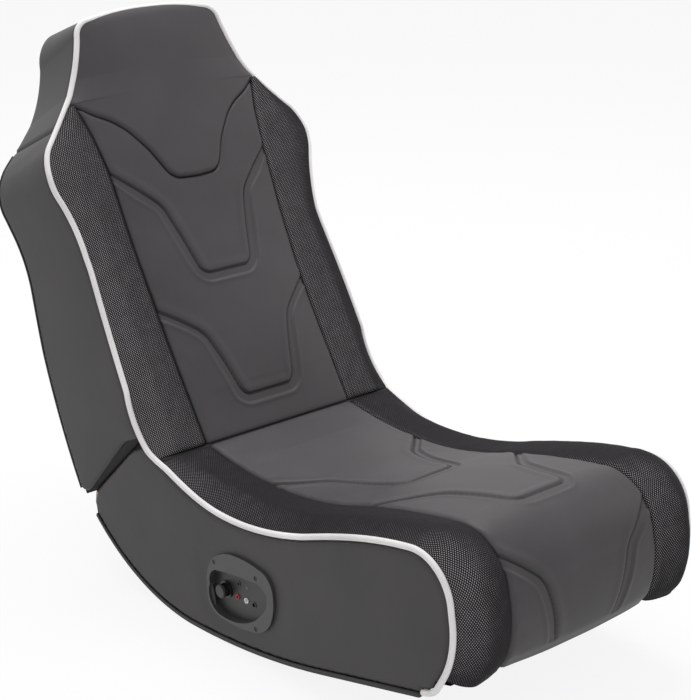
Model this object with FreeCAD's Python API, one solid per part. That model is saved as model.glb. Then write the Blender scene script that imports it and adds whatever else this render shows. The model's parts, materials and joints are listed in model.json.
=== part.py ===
import FreeCAD, Part
import math
import os

Vector = FreeCAD.Vector

# Gaming floor rocker, in millimetres. +Z is up, the sitter faces -Y and the
# audio controls are on the -X side. The origin lies on the floor under the
# middle of the chair. Side views of the seat are drawn as (y, z) points from
# the visible crease between seat and back. The back is drawn upright, as
# (x, n, t): n is forward of its padded front and t is up it from the crease.

# Where the crease lies and how far the back leans
crease_y = 88.0
crease_z = 221.0
lean_angle = 30.5

# Fold hinge, just under the crease
hinge_drop = 4.2
hinge_inset = 4.8
hinge_pin_radius = 2.0
hinge_knuckle_radius = 4.0
hinge_pin_clearance = 0.05
hinge_leaf_thickness = 2.0
hinge_leaf_gap = 0.15
hinge_leaf_reach = 78.0
hinge_leaf_width = 90.0
hinge_leaf_centre = 105.0
hinge_knuckle_count = 5
hinge_knuckle_gap = 0.5
hinge_screw_spacing = 50.0
hinge_screw_setback = 16.0
hinge_screw_radius = 2.0
hinge_screw_head_radius = 3.8
hinge_screw_head_height = 1.8
hinge_screw_length = 11.0

# Half widths of the chair
seam_half = 128.0
piping_half = 208.0
piping_radius = 4.0

# Walls, boards and gaps
cover_thickness = 4.0
seat_frame_thickness = 15.0
back_frame_thickness = 12.0
seat_board_thickness = 18.0
back_board_thickness = 12.0
seam_gap = 0.3
seat_deck_thickness = 12.0
back_deck_thickness = 5.0
cloth_thickness = 2.0
base_thickness = 5.0
pad_depth = 40.0
soft_gap = 0.3
hug = 0.6
deck_bite = 2.0
deck_spare = 3.0

# Seat pad surface from the crease, over the front, to the bottom edge
seat_line = [
    (-4, 0), (-58, -9), (-120, -13), (-205, -9), (-290, 8), (-385, 35),
    (-480, 53), (-543, 37), (-568, -10), (-573, -60), (-558, -112),
]
# How far the piping lies under, and the bolster ridge over, that surface at every second point
piping_drops = [7, 23, 18, 8, 14, 19]
ridge_rises = [2, 2, 3, 8, 10, 8]
seat_steps = 4
ridge_at = 0.56

# Form of every pad: crown, and the roll down into its seams
seat_crown = 5.0
seam_depth = 4.0
seam_roll = 7.0
# A seam's roll passes this share in and up on its way to the pad's top
roll_in = 0.25
roll_up = 0.75
pad_rise = 1.0
crease_roll = (9.0, 4.0, 1.0)
crease_roll_at = (0.0, 10.0, 26.0)
crown_run = 70.0

# Piping curling under the seat's front, and the edge of the ear beside the fold
piping_curl = [(-531, -121.5), (-521, -127.5), (-510, -131)]

# Rocker runner: two arcs and a straight rise to the front
rocker_rear = (161, -137)
rocker_rear_mid = (55, -200.4)
rocker_low = (-61, -221)
rocker_mid = (-195, -210.4)
rocker_turn = (-330, -184)
rocker_front = (-506, -139)
rear_corner = (165, -117)
strip_thickness = 5.0

# Slot between the seat's sides and the back's sides, as (n, t) on the back
slot_front = (-28.0, 33.0)
slot_rear = (-192.0, -5.0)
slot_gap = 4.0
ear_room_reach = 60.0
ear_room_fall = 13.0
ear_edge = [(-28.0, 32.5), (-21.0, 14.0), (-14.0, -4.0)]
back_heel = (-207.0, 0.0)
back_floor = -30.0

# Back outline from the crease to the middle of the head, as (x, t), at its front and behind it
back_front_outline = [
    (212, 0), (210, 140), (204, 262), (207, 322), (220, 374), (225, 410), (212, 446), (182, 480),
    (155, 513), (136, 550), (122, 590), (115, 606), (98, 615), (50, 622), (0, 624),
]
back_rear_outline = [
    (213, 0), (211, 150), (204, 290), (205, 345), (217, 400), (222, 432), (208, 466), (180, 492),
    (155, 516), (134, 548), (118, 590), (110, 625), (92, 652), (50, 660), (0, 662),
]
rear_outline_depth = 200.0
# Side view of the back as (n, t): its piping line and its rear line
back_piping_line = [
    (-8, -3), (-23, 35), (-20, 100), (-18, 190), (-17, 290), (-9, 350), (-3, 410), (-4, 470),
    (2, 530), (14, 580), (22, 626),
]
back_rear_line = [
    (-214, -20), (-208, 110), (-198, 208), (-172, 340), (-143, 468), (-112, 560), (-90, 680),
]
head_seam_front = 471.0
head_seam_rear = 492.0

# Back pad surface as (t, n) at the seams, on the centre line, and the seam's x
back_seam_line = [(0, 0), (70, -4), (200, -8), (300, -5), (396, 3), (520, 5)]
back_centre_line = [(0, 2), (150, 6), (234, 5), (340, 7), (400, 9), (520, 16), (590, 26), (624, 26)]
seam_half_line = [(0, 128), (210, 129), (396, 135), (450, 142), (504, 155)]
back_ridge_rise = 4.0
bolster_top = 499.0
back_start = 0.2
back_pad_floor = -32.0
back_heights = [0.2, 10, 26, 52, 90, 130, 170, 210, 255, 300, 340, 375, 410, 440, 470, 499, 510]

# Headrest pad: its lower edge as (x, t), from the side to the middle
head_edge = [(160, 501), (107, 467), (63, 418), (40, 377), (30, 370)]
head_gap = 1.0
head_rise = 2.5
head_half = 152.0
head_side_start = 500.0
head_shoulder = 606.0
head_fall_start = 596.0
head_heights = [350, 410, 460, 500, 520, 540, 560, 580, 596, 610, 619, 627]

# Embossed channels: upper and lower edge of each band, and how deep they are
channel_depth = 2.0
channel_spread = 1.0
channel_below = 8.0
back_channels = [
    ([(138, 399), (71, 337), (42, 235), (35, 230)], [(138, 389), (81, 331), (53, 230), (38, 217)]),
    ([(132, 198), (72, 149), (44, 56), (38, 50)], [(132, 186), (80, 141), (54, 48), (40, 38)]),
]
seat_channels = [
    ([(131, -135), (72, -190), (44, -296), (36, -304)], [(131, -147), (83, -194), (56, -300), (40, -318)]),
    ([(126, -332), (66, -393), (46, -487), (37, -495)], [(126, -344), (76, -398), (58, -490), (41, -509)]),
]
seat_channel_bases = [-21.0, 11.0]
front_channel = ([(126, 31), (73, -6), (50, -90)], [(126, 20), (86, -12), (63, -86)])
front_channel_reach = 60.0

# Boards and rails inside, as (y, z) or (n, t) places of their lower corners
hinge_board_rear = 186.0
back_board_rear = 210.5
seat_board_front = 18.0
rail_width = 18.0
rail_height = 40.0
seat_middle_rail_y = -300.0
seat_front_rail_y = -538.0
seat_front_rail_z = -112.0
seat_rear_rail_y = 128.0
seat_rear_rail_z = -140.0
back_middle_rail_t = 215.0
shoulder_rail_gap = 11.0
head_frame_low = 500.0
deck_up = 600.0
frame_top = 478.0
side_gap = 1.5
cleat_width = 18.0
cleat_height = 55.0
bottom_panel_height = 14.0
piping_foot = -0.5
piping_knee = 18.0

# Speakers behind the mesh at the shoulders
speaker_t = 392.0
speaker_radius = 33.0
speaker_side_gap = 0.5
speaker_rim = 5.0
speaker_flange = 2.5
speaker_basket_depth = 20.5
speaker_wall = 1.5
speaker_cone_depth = 12.0
speaker_cone_wall = 1.2
speaker_dust_cap_radius = 8.0
speaker_magnet_radius = 19.0
speaker_magnet_depth = 14.0
speaker_seat = 2.0
speaker_pocket_radius = 28.0
speaker_pocket_top = -8.0

# Control panel on the seat's -X side: its outline and its recess, as (y, z)
panel_outline = [
    (-105, -150), (-107, -120), (-116, -103), (-138, -88), (-165, -81), (-190, -80),
    (-215, -82.5), (-233, -90), (-242, -106), (-243, -127), (-236, -152), (-221, -168),
    (-196, -177), (-160, -182), (-128, -180.5), (-111, -171),
]
recess_outline = [
    (-111, -140), (-113, -124), (-123, -116), (-160, -109), (-198, -105), (-216, -105), (-228, -112),
    (-230, -124), (-222, -140), (-206, -157), (-184, -170), (-160, -177), (-136, -178), (-119, -173),
]
panel_proud = 4.0
panel_recess = 11.0
panel_wall = 2.5
panel_floor = 2.5
panel_fit = 0.5
panel_screws = [(-121, -105), (-208, -96.5), (-207, -169)]
panel_screw_radius = 1.8
panel_screw_head_radius = 3.4
panel_screw_head_height = 2.4
panel_screw_length = 15.0
panel_screw_sink = 0.6
housing_depth = 36.0
housing_wall = 2.0

# Controls on the panel's floor, as (y, z)
knob_at = (-134.5, -142.5)
knob_radius = 8.5
knob_height = 10.0
knob_flange_radius = 11.7
knob_flange_height = 2.5
knob_clearance = 0.5
shaft_radius = 3.0
shaft_clearance = 0.05
bushing_radius = 4.5
pot_radius = 8.0
pot_depth = 9.0
pot_wall = 1.5
socket_radius = 4.0
socket_bore_radius = 1.8
socket_bore_depth = 14.0
socket_proud = 0.8
socket_depth = 17.0
headphone_at = (-159.5, -126.0)
red_socket_at = (-157.0, -145.5)
white_socket_at = (-175.3, -144.0)
inlet_at = (-190.6, -144.5)
inlet_radius = 4.4
inlet_bore_radius = 2.9
inlet_pin_radius = 1.0
inlet_depth = 12.0
led_at = (-176.4, -125.2)
led_radius = 1.5
led_length = 5.0
inlet_pin_setback = 2.0
shaft_grip = 7.0
led_proud = 0.5
circuit_board_thickness = 1.6
circuit_board_margin = 0.5

tiny = 0.01
# Farther than any piece reaches, for cutting blocks
beyond = 300.0
tube_turn = 0.45
tube_straight = 0.002

cover_outer = piping_half + cover_thickness / 2
cover_inner = piping_half - cover_thickness / 2
frame_outer = cover_inner - soft_gap
frame_inner = frame_outer - seat_frame_thickness
pad_edge = cover_inner - soft_gap
panel_face = -cover_outer - panel_proud
floor_face = panel_face + panel_recess
floor_back = floor_face + panel_floor
seat_board_top = -hinge_drop - hinge_leaf_gap - hinge_leaf_thickness
board_top = -hinge_drop + hinge_leaf_gap + hinge_leaf_thickness + back_board_thickness
deck_bottom = pad_depth + seat_deck_thickness
room_radius = piping_radius + soft_gap
cover_drop = piping_radius + 2 * soft_gap

parts = {}


def save(name, shape):
    """Keep a finished piece under its node's name."""
    if shape.ShapeType == "Compound" and len(shape.Solids) == 1:
        shape = shape.Solids[0]
    parts[name] = shape


def mirrored(shape):
    """The same piece on the other side of the chair."""
    return shape.mirror(Vector(0, 0, 0), Vector(1, 0, 0))


def seat_place(shape):
    """Move a seat piece from crease coordinates to the chair's frame."""
    moved = shape.copy()
    moved.translate(Vector(0, crease_y, crease_z))
    return moved


def back_place(shape):
    """Lean a back piece and move it to the chair's frame."""
    moved = shape.copy()
    moved.rotate(Vector(0, 0, 0), Vector(1, 0, 0), -lean_angle)
    moved.translate(Vector(0, crease_y, crease_z))
    return moved


def on_back(x, n, t):
    """A point of the upright back."""
    return Vector(x, -n, t)


def back_to_seat(n, t):
    """The (y, z) crease coordinates of a point of the leaned back."""
    turn = math.radians(lean_angle)
    return (t * math.sin(turn) - n * math.cos(turn), t * math.cos(turn) + n * math.sin(turn))


def between(line, where):
    """Value of a line of (position, value) pairs at a position."""
    if where <= line[0][0]:
        return line[0][1]
    for (a, value_a), (b, value_b) in zip(line, line[1:]):
        if where <= b:
            return value_a + (value_b - value_a) * (where - a) / (b - a)
    return line[-1][1]


def circle_through(a, b, c):
    """Centre of the circle through three plane points, or None on a straight."""
    turn = (b[0] - a[0]) * (c[1] - a[1]) - (b[1] - a[1]) * (c[0] - a[0])
    if abs(turn) < 1e-6:
        return None
    ab = (b[0] ** 2 - a[0] ** 2 + b[1] ** 2 - a[1] ** 2) / 2
    ac = (c[0] ** 2 - a[0] ** 2 + c[1] ** 2 - a[1] ** 2) / 2
    x = (ab * (c[1] - a[1]) - ac * (b[1] - a[1])) / turn
    y = (ac * (b[0] - a[0]) - ab * (c[0] - a[0])) / turn
    return (x, y)


def sampled(points, steps):
    """Points along arcs through every three points, with their position counted in points."""
    found = []
    for i in range(0, len(points) - 2, 2):
        a, b, c = points[i:i + 3]
        centre = circle_through(a, b, c)
        for k in range(steps):
            share = k / steps
            if centre is None:
                found.append((a[0] + (c[0] - a[0]) * share, a[1] + (c[1] - a[1]) * share, i + 2 * share))
                continue
            start = math.atan2(a[1] - centre[1], a[0] - centre[0])
            middle = math.remainder(math.atan2(b[1] - centre[1], b[0] - centre[0]) - start, math.tau)
            sweep = math.remainder(math.atan2(c[1] - centre[1], c[0] - centre[0]) - start, math.tau)
            if middle * sweep < 0:
                sweep -= math.copysign(math.tau, sweep)
            radius = math.hypot(a[0] - centre[0], a[1] - centre[1])
            angle = start + sweep * share
            found.append((centre[0] + radius * math.cos(angle), centre[1] + radius * math.sin(angle),
                          i + 2 * share))
    found.append((points[-1][0], points[-1][1], len(points) - 1))
    return found


def offset_points(points, distance):
    """The points moved to the left of the way they run."""
    moved = []
    for i, point in enumerate(points):
        before = points[max(i - 1, 0)]
        after = points[min(i + 1, len(points) - 1)]
        run = (after[0] - before[0], after[1] - before[1])
        size = math.hypot(*run)
        moved.append((point[0] - run[1] / size * distance, point[1] + run[0] / size * distance))
    return moved


def arcs(points, lift):
    """Arcs through every three plane points, lifted into space by a function."""
    edges = []
    for i in range(0, len(points) - 2, 2):
        a, b, c = (lift(*p) for p in points[i:i + 3])
        if (b - a).cross(c - a).Length < 1e-3:
            edges.append(Part.LineSegment(a, c).toShape())
        else:
            edges.append(Part.Arc(a, b, c).toShape())
    return edges


def lines(points, lift):
    """Straight edges through plane points, lifted into space by a function."""
    spots = [lift(*p) for p in points]
    return [Part.LineSegment(a, b).toShape() for a, b in zip(spots, spots[1:])]


def plate(edges, direction):
    """A solid from closed flat edges, pushed along a direction."""
    return Part.Face(Part.Wire(edges)).extrude(direction)


def polygon_plate(points, lift, direction):
    """A solid from a closed outline of plane points."""
    return plate(lines(list(points) + [points[0]], lift), direction)


def side_lift(x):
    """Lift (y, z) points to a plane across the chair."""
    return lambda y, z: Vector(x, y, z)


def block(x0, x1, y0, y1, z0, z1):
    """A box between two corners."""
    return Part.makeBox(x1 - x0, y1 - y0, z1 - z0, Vector(x0, y0, z0))


def rod(radius, start, length, direction):
    """A round bar."""
    return Part.makeCylinder(radius, length, start, direction)


def cord_path(points):
    """Points of a cord's path: straight runs joined by tangent arcs, with the middle of each."""
    path = [points[0]]
    for a, b, c in zip(points, points[1:], points[2:]):
        into, out = b - a, c - b
        turn = into.getAngle(out)
        reach = tube_turn * min(into.Length, out.Length)
        first = b - into.normalize() * reach
        last = b + out.normalize() * reach
        middle = (first + last) * 0.5
        if turn > tube_straight:
            middle += (b - middle).normalize() * (reach * math.cos(turn / 2) * math.tan(turn / 4))
        path += [(path[-1] + first) * 0.5, first, middle, last]
    return path + [(path[-1] + points[-1]) * 0.5, points[-1]]


def tube(points, radius):
    """A round cord along a path."""
    path = Part.Wire(arcs(cord_path(points), Vector))
    ring = Part.Wire([Part.makeCircle(radius, points[0], points[1] - points[0])])
    return path.makePipeShell([ring], True, False)


# Stations of the seat's pad surface
def seat_stations():
    """Points of the pad surface with their outward normal, piping drop and ridge rise."""
    spots = sampled(seat_line, seat_steps)
    stations = []
    for i, (y, z, position) in enumerate(spots):
        before = spots[max(i - 1, 0)]
        after = spots[min(i + 1, len(spots) - 1)]
        run = (after[0] - before[0], after[1] - before[1])
        size = math.hypot(*run)
        normal = (run[1] / size, -run[0] / size)
        joint = position / 2
        drop = between(list(enumerate(piping_drops)), joint)
        rise = between(list(enumerate(ridge_rises)), joint)
        stations.append({"at": (y, z), "normal": normal, "drop": drop, "rise": rise})
    return stations


def lifted(station, height):
    """The (y, z) point a height over the pad surface at a station."""
    y, z = station["at"]
    return (y + station["normal"][0] * height, z + station["normal"][1] * height)


stations = seat_stations()


def run_from_crease(index):
    """Length along the pad surface from the crease to a station."""
    spots = [s["at"] for s in stations[:index + 1]]
    return sum(math.dist(a, b) for a, b in zip(spots, spots[1:]))


def seat_sink(index):
    """How far a pad is drawn in near the crease and near its front bottom edge."""
    from_crease = run_from_crease(index)
    from_end = run_from_crease(len(stations) - 1) - from_crease
    rolls = list(zip(crease_roll_at, crease_roll))
    return max(between(rolls + [(crease_roll_at[-1] * 2, 0)], from_crease),
               between([(0, seam_depth), (crease_roll_at[-1], 0)], from_end))


def pad_section(corners, lift):
    """A closed section: rolls and crowns as arcs on top, straight sides and bottom."""
    edges = []
    for a, b, c in corners["arcs"]:
        edges.append(Part.Arc(lift(*a), lift(*b), lift(*c)).toShape())
    edges += lines(corners["lines"], lift)
    return Part.Wire(edges)


def seat_lift(station):
    """Lift (x, height) points to a station's plane."""
    def lift(x, height):
        y, z = lifted(station, height)
        return Vector(x, y, z)
    return lift


def crown_share(distance):
    """How much of a pad's crown is there at a distance from the crease."""
    return between([(0, 0.1), (crown_run, 1)], distance)


def extra_stations():
    """Stations with their sinks and crowns, with one more close to the crease for the roll into it."""
    first, second = stations[0], stations[1]
    share = crease_roll_at[1] / math.dist(first["at"], second["at"])
    near = {
        "at": tuple(a + (b - a) * share for a, b in zip(first["at"], second["at"])),
        "normal": tuple(a + (b - a) * share for a, b in zip(first["normal"], second["normal"])),
        "drop": first["drop"] + (second["drop"] - first["drop"]) * share,
        "rise": first["rise"] + (second["rise"] - first["rise"]) * share,
    }
    found = [(s, seat_sink(i), crown_share(run_from_crease(i))) for i, s in enumerate(stations)]
    return [found[0], (near, crease_roll[1], crown_share(crease_roll_at[1]))] + found[1:]


def centre_pad(sink_more, spread, floor):
    """The seat's leather centre pad."""
    wires = []
    half = seam_half - tiny + spread
    roll_x = half - seam_roll * roll_in
    flat_x = half - seam_roll
    for station, sink, crown in extra_stations():
        low = -seam_depth - sink - sink_more
        top = pad_rise - sink - sink_more
        roll_top = low + seam_depth * roll_up
        section = {
            "arcs": [
                ((-half, low), (-roll_x, roll_top), (-flat_x, top)),
                ((-flat_x, top), (0, top + seat_crown * crown), (flat_x, top)),
                ((flat_x, top), (roll_x, roll_top), (half, low)),
            ],
            "lines": [(half, low), (half, floor), (-half, floor), (-half, low)],
        }
        wires.append(pad_section(section, seat_lift(station)))
    return Part.makeLoft(wires, True, False)


def seat_bolster():
    """The mesh bolster on the seat's +X side."""
    wires = []
    inner = seam_half + tiny
    beside = piping_half - piping_radius + hug
    ridge_x = inner + (beside - inner) * ridge_at
    for station, sink, crown in extra_stations():
        low = -seam_depth - sink
        drop = -station["drop"]
        rise = 1.5 - sink + (station["rise"] - 1.5 + sink * 0.2) * crown
        outer_top = min(drop + piping_radius - 0.5, rise - 2)
        ledge = drop - piping_radius + hug
        section = {
            "arcs": [
                ((inner, low), (inner + seam_roll * roll_in, low + seam_depth * roll_up),
                 (inner + seam_roll, pad_rise - sink)),
                ((inner + seam_roll, pad_rise - sink), (ridge_x, rise), (beside, outer_top)),
            ],
            "lines": [(beside, outer_top), (beside, ledge), (pad_edge, ledge), (pad_edge, -pad_depth),
                      (inner, -pad_depth), (inner, low)],
        }
        wires.append(pad_section(section, seat_lift(station)))
    return Part.makeLoft(wires, True, False)


def channel_cut(pad, lowered, edges_up, edges_low, lift, direction):
    """Press one band into a pad, down to a lowered copy of it."""
    both = []
    for side in (1, -1):
        upper = [(side * x, t) for x, t in edges_up]
        lower = [(side * x, t) for x, t in edges_low]
        both.append((upper, lower))
    right_upper, right_lower = both[0]
    left_upper, left_lower = both[1]
    outline = right_upper + left_upper[::-1] + left_lower + right_lower[::-1]
    band = polygon_plate(outline, lift, direction)
    return pad.cut(band.cut(lowered))


def seat_cord():
    """Corners of the piping's path on the seat's +X side."""
    return [Vector(piping_half, y, z) for y, z in piping_points()]


def seat_tube(radius):
    """A cord along the piping of the seat's +X side."""
    return tube(seat_cord(), radius)


def seat_deck():
    """The curved board under the seat's pads, cut to their underside."""
    wires = []
    top, bottom = -pad_depth + deck_spare, -deck_bottom
    corners = [(pad_edge, top), (pad_edge, bottom), (-pad_edge, bottom), (-pad_edge, top), (pad_edge, top)]
    for station, sink, crown in extra_stations():
        wires.append(Part.Wire(lines(corners, seat_lift(station))))
    board = Part.makeLoft(wires, True, False)
    return board.cut(centre_pad(0, pad_edge, -pad_depth - soft_gap))


def make_seat_pads():
    """Centre pad with its channels, and the two bolsters."""
    pad = centre_pad(0, 0, -pad_depth)
    lowered = centre_pad(channel_depth, channel_spread, -pad_depth - channel_below)
    top = max(z for y, z in seat_line) + 20
    for (upper, lower), base in zip(seat_channels, seat_channel_bases):
        pad = channel_cut(pad, lowered, upper, lower, lambda x, y: Vector(x, y, base),
                          Vector(0, 0, top - base))
    front = min(y for y, z in seat_line) - 20
    upper, lower = front_channel
    for side in (1, -1):
        outline = [(side * x, z) for x, z in upper] + [(side * x, z) for x, z in lower[::-1]]
        band = polygon_plate(outline, lambda x, z: Vector(x, front, z), Vector(0, front_channel_reach, 0))
        pad = pad.cut(band.cut(lowered))
    deck = seat_deck()
    save("seat_deck", seat_place(deck))
    save("seat_centre_cushion", seat_place(pad))
    bolster = seat_bolster().cut(seat_tube(room_radius))
    save("seat_bolster_left", seat_place(bolster))
    save("seat_bolster_right", seat_place(mirrored(bolster)))

# Outlines that several seat pieces share
def pad_line(height):
    """The pad surface moved out by a height, as plane points."""
    return [lifted(s, height) for s in stations]


def piping_points():
    """The piping's centre line on the seat's side, from the crease to its curled end."""
    return [lifted(s, -s["drop"]) for s in stations] + piping_curl


def rocker_edges(lift, height):
    """The runner's curve raised by a height, from the rear to the front."""
    rear = [rocker_rear, rocker_rear_mid, rocker_low, rocker_mid, rocker_turn]
    raised = offset_points(rear + [rocker_front], -height)
    edges = arcs(raised[:5], lift)
    edges += lines(raised[4:6], lift)
    return edges, raised[0], raised[5]


def seat_block(top_points, x0, x1, height):
    """The seat seen from the side, under some top line and over the runner."""
    lift = side_lift(x0)
    bottom, rear_end, front_end = rocker_edges(lift, height)
    top_edges = arcs(top_points, lift)
    link = [top_points[-1], front_end]
    ear = [back_to_seat(*spot) for spot in [slot_rear] + ear_edge]
    rear = [rear_end, rear_corner] + ear + [top_points[0]]
    edges = top_edges + lines(link, lift) + [e.reversed() for e in bottom[::-1]] + lines(rear, lift)
    return Part.Face(Part.Wire(Part.__sortEdges__(edges))).extrude(Vector(x1 - x0, 0, 0))


def ring_face(points, offset, x):
    """A flat face inside closed arcs of (y, z) points, moved outwards by an offset."""
    count = len(points)
    moved = []
    for i in range(count):
        before, after = points[i - 1], points[(i + 1) % count]
        run = (after[0] - before[0], after[1] - before[1])
        size = math.hypot(*run)
        moved.append((points[i][0] + run[1] / size * offset, points[i][1] - run[0] / size * offset))
    return Part.Face(Part.Wire(arcs(moved + [moved[0]], side_lift(x))))


def plug(points, offset, x0, x1):
    """A plug over closed arcs of (y, z) points between two planes."""
    return ring_face(points, offset, x0).extrude(Vector(x1 - x0, 0, 0))


def make_seat_shell():
    """Side frames, side covers, runners, piping, deck, rails and bottom cover."""
    below_tube = offset_points([(p.y, p.z) for p in cord_path(seat_cord())], cover_drop)
    cover = seat_block(below_tube, cover_inner, cover_outer, strip_thickness)
    frame_line = pad_line(-deck_bottom + deck_bite)
    frame = seat_block(frame_line, frame_inner, frame_outer, strip_thickness)
    frame = frame.cut(seat_deck()).cut(seat_tube(room_radius))
    left_cover = cover
    right_cover = mirrored(cover)
    aperture = plug(recess_outline, panel_wall + panel_fit, panel_face - 1, 0)
    screws = panel_screw_solids()
    right_cover = right_cover.cut(aperture).cut(screws)
    right_frame = mirrored(frame).cut(aperture).cut(screws)
    save("seat_side_cover_left", seat_place(left_cover))
    save("seat_side_cover_right", seat_place(right_cover))
    save("seat_side_frame_left", seat_place(frame))
    save("seat_side_frame_right", seat_place(right_frame))

    lift = side_lift(frame_inner)
    low, low_rear, low_front = rocker_edges(lift, 0)
    high, high_rear, high_front = rocker_edges(lift, strip_thickness)
    edges = low + lines([low_front, high_front], lift) + high[::-1] + lines([high_rear, low_rear], lift)
    strip = Part.Face(Part.Wire(Part.__sortEdges__(edges))).extrude(Vector(cover_outer - frame_inner, 0, 0))
    save("rocker_strip_left", seat_place(strip))
    save("rocker_strip_right", seat_place(mirrored(strip)))

    piping = seat_tube(piping_radius)
    save("seat_piping_left", seat_place(piping))
    save("seat_piping_right", seat_place(mirrored(piping)))

    lift = side_lift(-frame_inner)
    low, low_rear, low_front = rocker_edges(lift, bottom_panel_height)
    high, high_rear, high_front = rocker_edges(lift, bottom_panel_height + base_thickness)
    edges = low + lines([low_front, high_front], lift) + high + lines([high_rear, low_rear], lift)
    bottom = Part.Face(Part.Wire(Part.__sortEdges__(edges))).extrude(Vector(2 * frame_inner, 0, 0))
    save("seat_bottom_panel", seat_place(bottom))


def make_seat_rails():
    """Cross rails between the seat's side frames."""
    reach = frame_inner
    deck_z = lifted(min(stations, key=lambda s: abs(s["at"][0] - seat_middle_rail_y)), -deck_bottom)[1]
    over_base = bottom_panel_height + base_thickness
    room = seat_block(pad_line(-deck_bottom + deck_bite), -reach, reach, over_base).cut(seat_deck())
    middle = block(-reach, reach, seat_middle_rail_y, seat_middle_rail_y + rail_width,
                   deck_z - rail_height, deck_z + rail_height)
    front = block(-reach, reach, seat_front_rail_y, seat_front_rail_y + rail_width * 2,
                  seat_front_rail_z - rail_height, seat_front_rail_z + rail_height)
    rear = block(-reach, reach, seat_rear_rail_y, seat_rear_rail_y + rail_width,
                 seat_rear_rail_z - rail_height, seat_rear_rail_z + rail_height * 2)
    board_low = seat_board_top - seat_board_thickness
    under_board = Part.makeBox(2 * reach, 600, 600, Vector(-reach, -200, board_low - 600))
    under_board.rotate(Vector(0, 0, 0), Vector(1, 0, 0), -lean_angle)
    save("seat_middle_rail", seat_place(middle.common(room)))
    save("seat_front_rail", seat_place(front.common(room)))
    save("seat_rear_rail", seat_place(rear.common(room).common(under_board)))
    board = block(-reach, reach, seat_board_front, hinge_board_rear, board_low, seat_board_top)
    save("seat_hinge_board", back_place(board.cut(leaf_screws(-1))))


# Outline of the back, ruled between its front and rear curves
def outline_points(offset, depth):
    """The back's half outline at a depth behind its front, moved inwards by an offset."""
    share = depth / rear_outline_depth
    half = [(a[0] + (b[0] - a[0]) * share, a[1] + (b[1] - a[1]) * share)
            for a, b in zip(back_front_outline, back_rear_outline)]
    whole = half + [(-x, t) for x, t in half[-2::-1]]
    whole = offset_points(whole, offset)
    whole[0] = (whole[0][0], back_floor)
    whole[-1] = (whole[-1][0], back_floor)
    return whole


def outline_solid(offset, front=-40.0, rear=240.0):
    """Everything inside the back's outline moved inwards by an offset."""
    wires = []
    for depth in (front, rear):
        points = outline_points(offset, depth)
        def lift(x, t):
            return on_back(x, -depth, t)
        edges = arcs(points, lift) + lines([points[-1], points[0]], lift)
        wires.append(Part.Wire(edges))
    return Part.makeLoft(wires, True, True)


def edge_x(t, n):
    """Half width of the back's outline at a height and a forward position."""
    spots = sampled(outline_points(0, -n)[:len(back_front_outline)], 6)
    line = [(spot[1], spot[0]) for spot in spots]
    return between(line, t)


def keep(points, x0, x1):
    """A prism over (n, t) points between two planes across the back."""
    return polygon_plate(points, lambda n, t: on_back(x0, n, t), Vector(x1 - x0, 0, 0))


def box_points(front, rear, low, high):
    """The corners of an upright box in (n, t)."""
    return [(front, low), (front, high), (rear, high), (rear, low)]


def along(line, count):
    """Points on smooth arcs through an (n, t) line."""
    return [(n, t) for n, t, position in sampled(line, count)]


def front_line(behind):
    """The piping line moved backwards."""
    return [(n - behind, t) for n, t in along(back_piping_line, 3)]


def rear_line(ahead):
    """The rear line moved forwards."""
    return [(n + ahead, t) for n, t in along(back_rear_line, 3)]


def head_seam(n):
    """Height of the seam across the back's sides."""
    share = -n / rear_outline_depth
    return head_seam_front + (head_seam_rear - head_seam_front) * share


def side_profile(behind, ahead):
    """The back's side in (n, t), over the slot, between its front and rear lines."""
    front = [p for p in front_line(behind) if p[1] > slot_front[1] + slot_gap + 1]
    rear = [p for p in rear_line(ahead) if p[1] > back_heel[1] + 5]
    first = (between([(t, n) for n, t in front], slot_front[1] + slot_gap), slot_front[1] + slot_gap)
    slot = [first, (slot_rear[0], slot_rear[1] + slot_gap), (back_heel[0] + ahead, back_heel[1])]
    return slot + rear + front[::-1]


def ear_room():
    """The room that the seat's ears need beside the fold."""
    front = [(n + soft_gap * 2, t) for n, t in ear_edge]
    top = [(front[0][0], slot_front[1] + slot_gap), (slot_rear[0], slot_rear[1] + slot_gap)]
    past = slot_rear[0] - ear_room_reach
    deep = [(past, slot_rear[1] + slot_gap - ear_room_fall), (past, back_floor), (front[-1][0], back_floor)]
    outline = front[::-1] + top + deep
    inner = frame_inner - soft_gap * 2
    right = keep(outline, inner, inner + 60)
    return right.fuse(mirrored(right))


def back_lift(t):
    """Lift (x, n) points to a plane across the back."""
    return lambda x, n: on_back(x, n, t)


def back_sink(t):
    """How far the back's pads are drawn in near the crease."""
    return between(list(zip(crease_roll_at, crease_roll)) + [(crease_roll_at[-1] * 2, 0)], t - back_start)


def back_centre(lower, spread):
    """The back's leather centre pad, its top still uncut."""
    wires = []
    for t in back_heights:
        half = between(seam_half_line, t) - seam_gap / 2 + spread
        seam = between(back_seam_line, t) - back_sink(t) - lower
        top = seam + pad_rise
        bulge = between(back_centre_line, t) - between(back_seam_line, t) - pad_rise
        middle = top + max(bulge, 1) * crown_share(t)
        low = seam - seam_depth
        roll_x = half - seam_roll * roll_in
        flat_x = half - seam_roll
        roll_top = low + seam_depth * roll_up
        section = {
            "arcs": [
                ((-half, low), (-roll_x, roll_top), (-flat_x, top)),
                ((-flat_x, top), (0, middle), (flat_x, top)),
                ((flat_x, top), (roll_x, roll_top), (half, low)),
            ],
            "lines": [(half, low), (half, back_pad_floor), (-half, back_pad_floor), (-half, low)],
        }
        wires.append(pad_section(section, back_lift(t)))
    return Part.makeLoft(wires, True, False)


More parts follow.
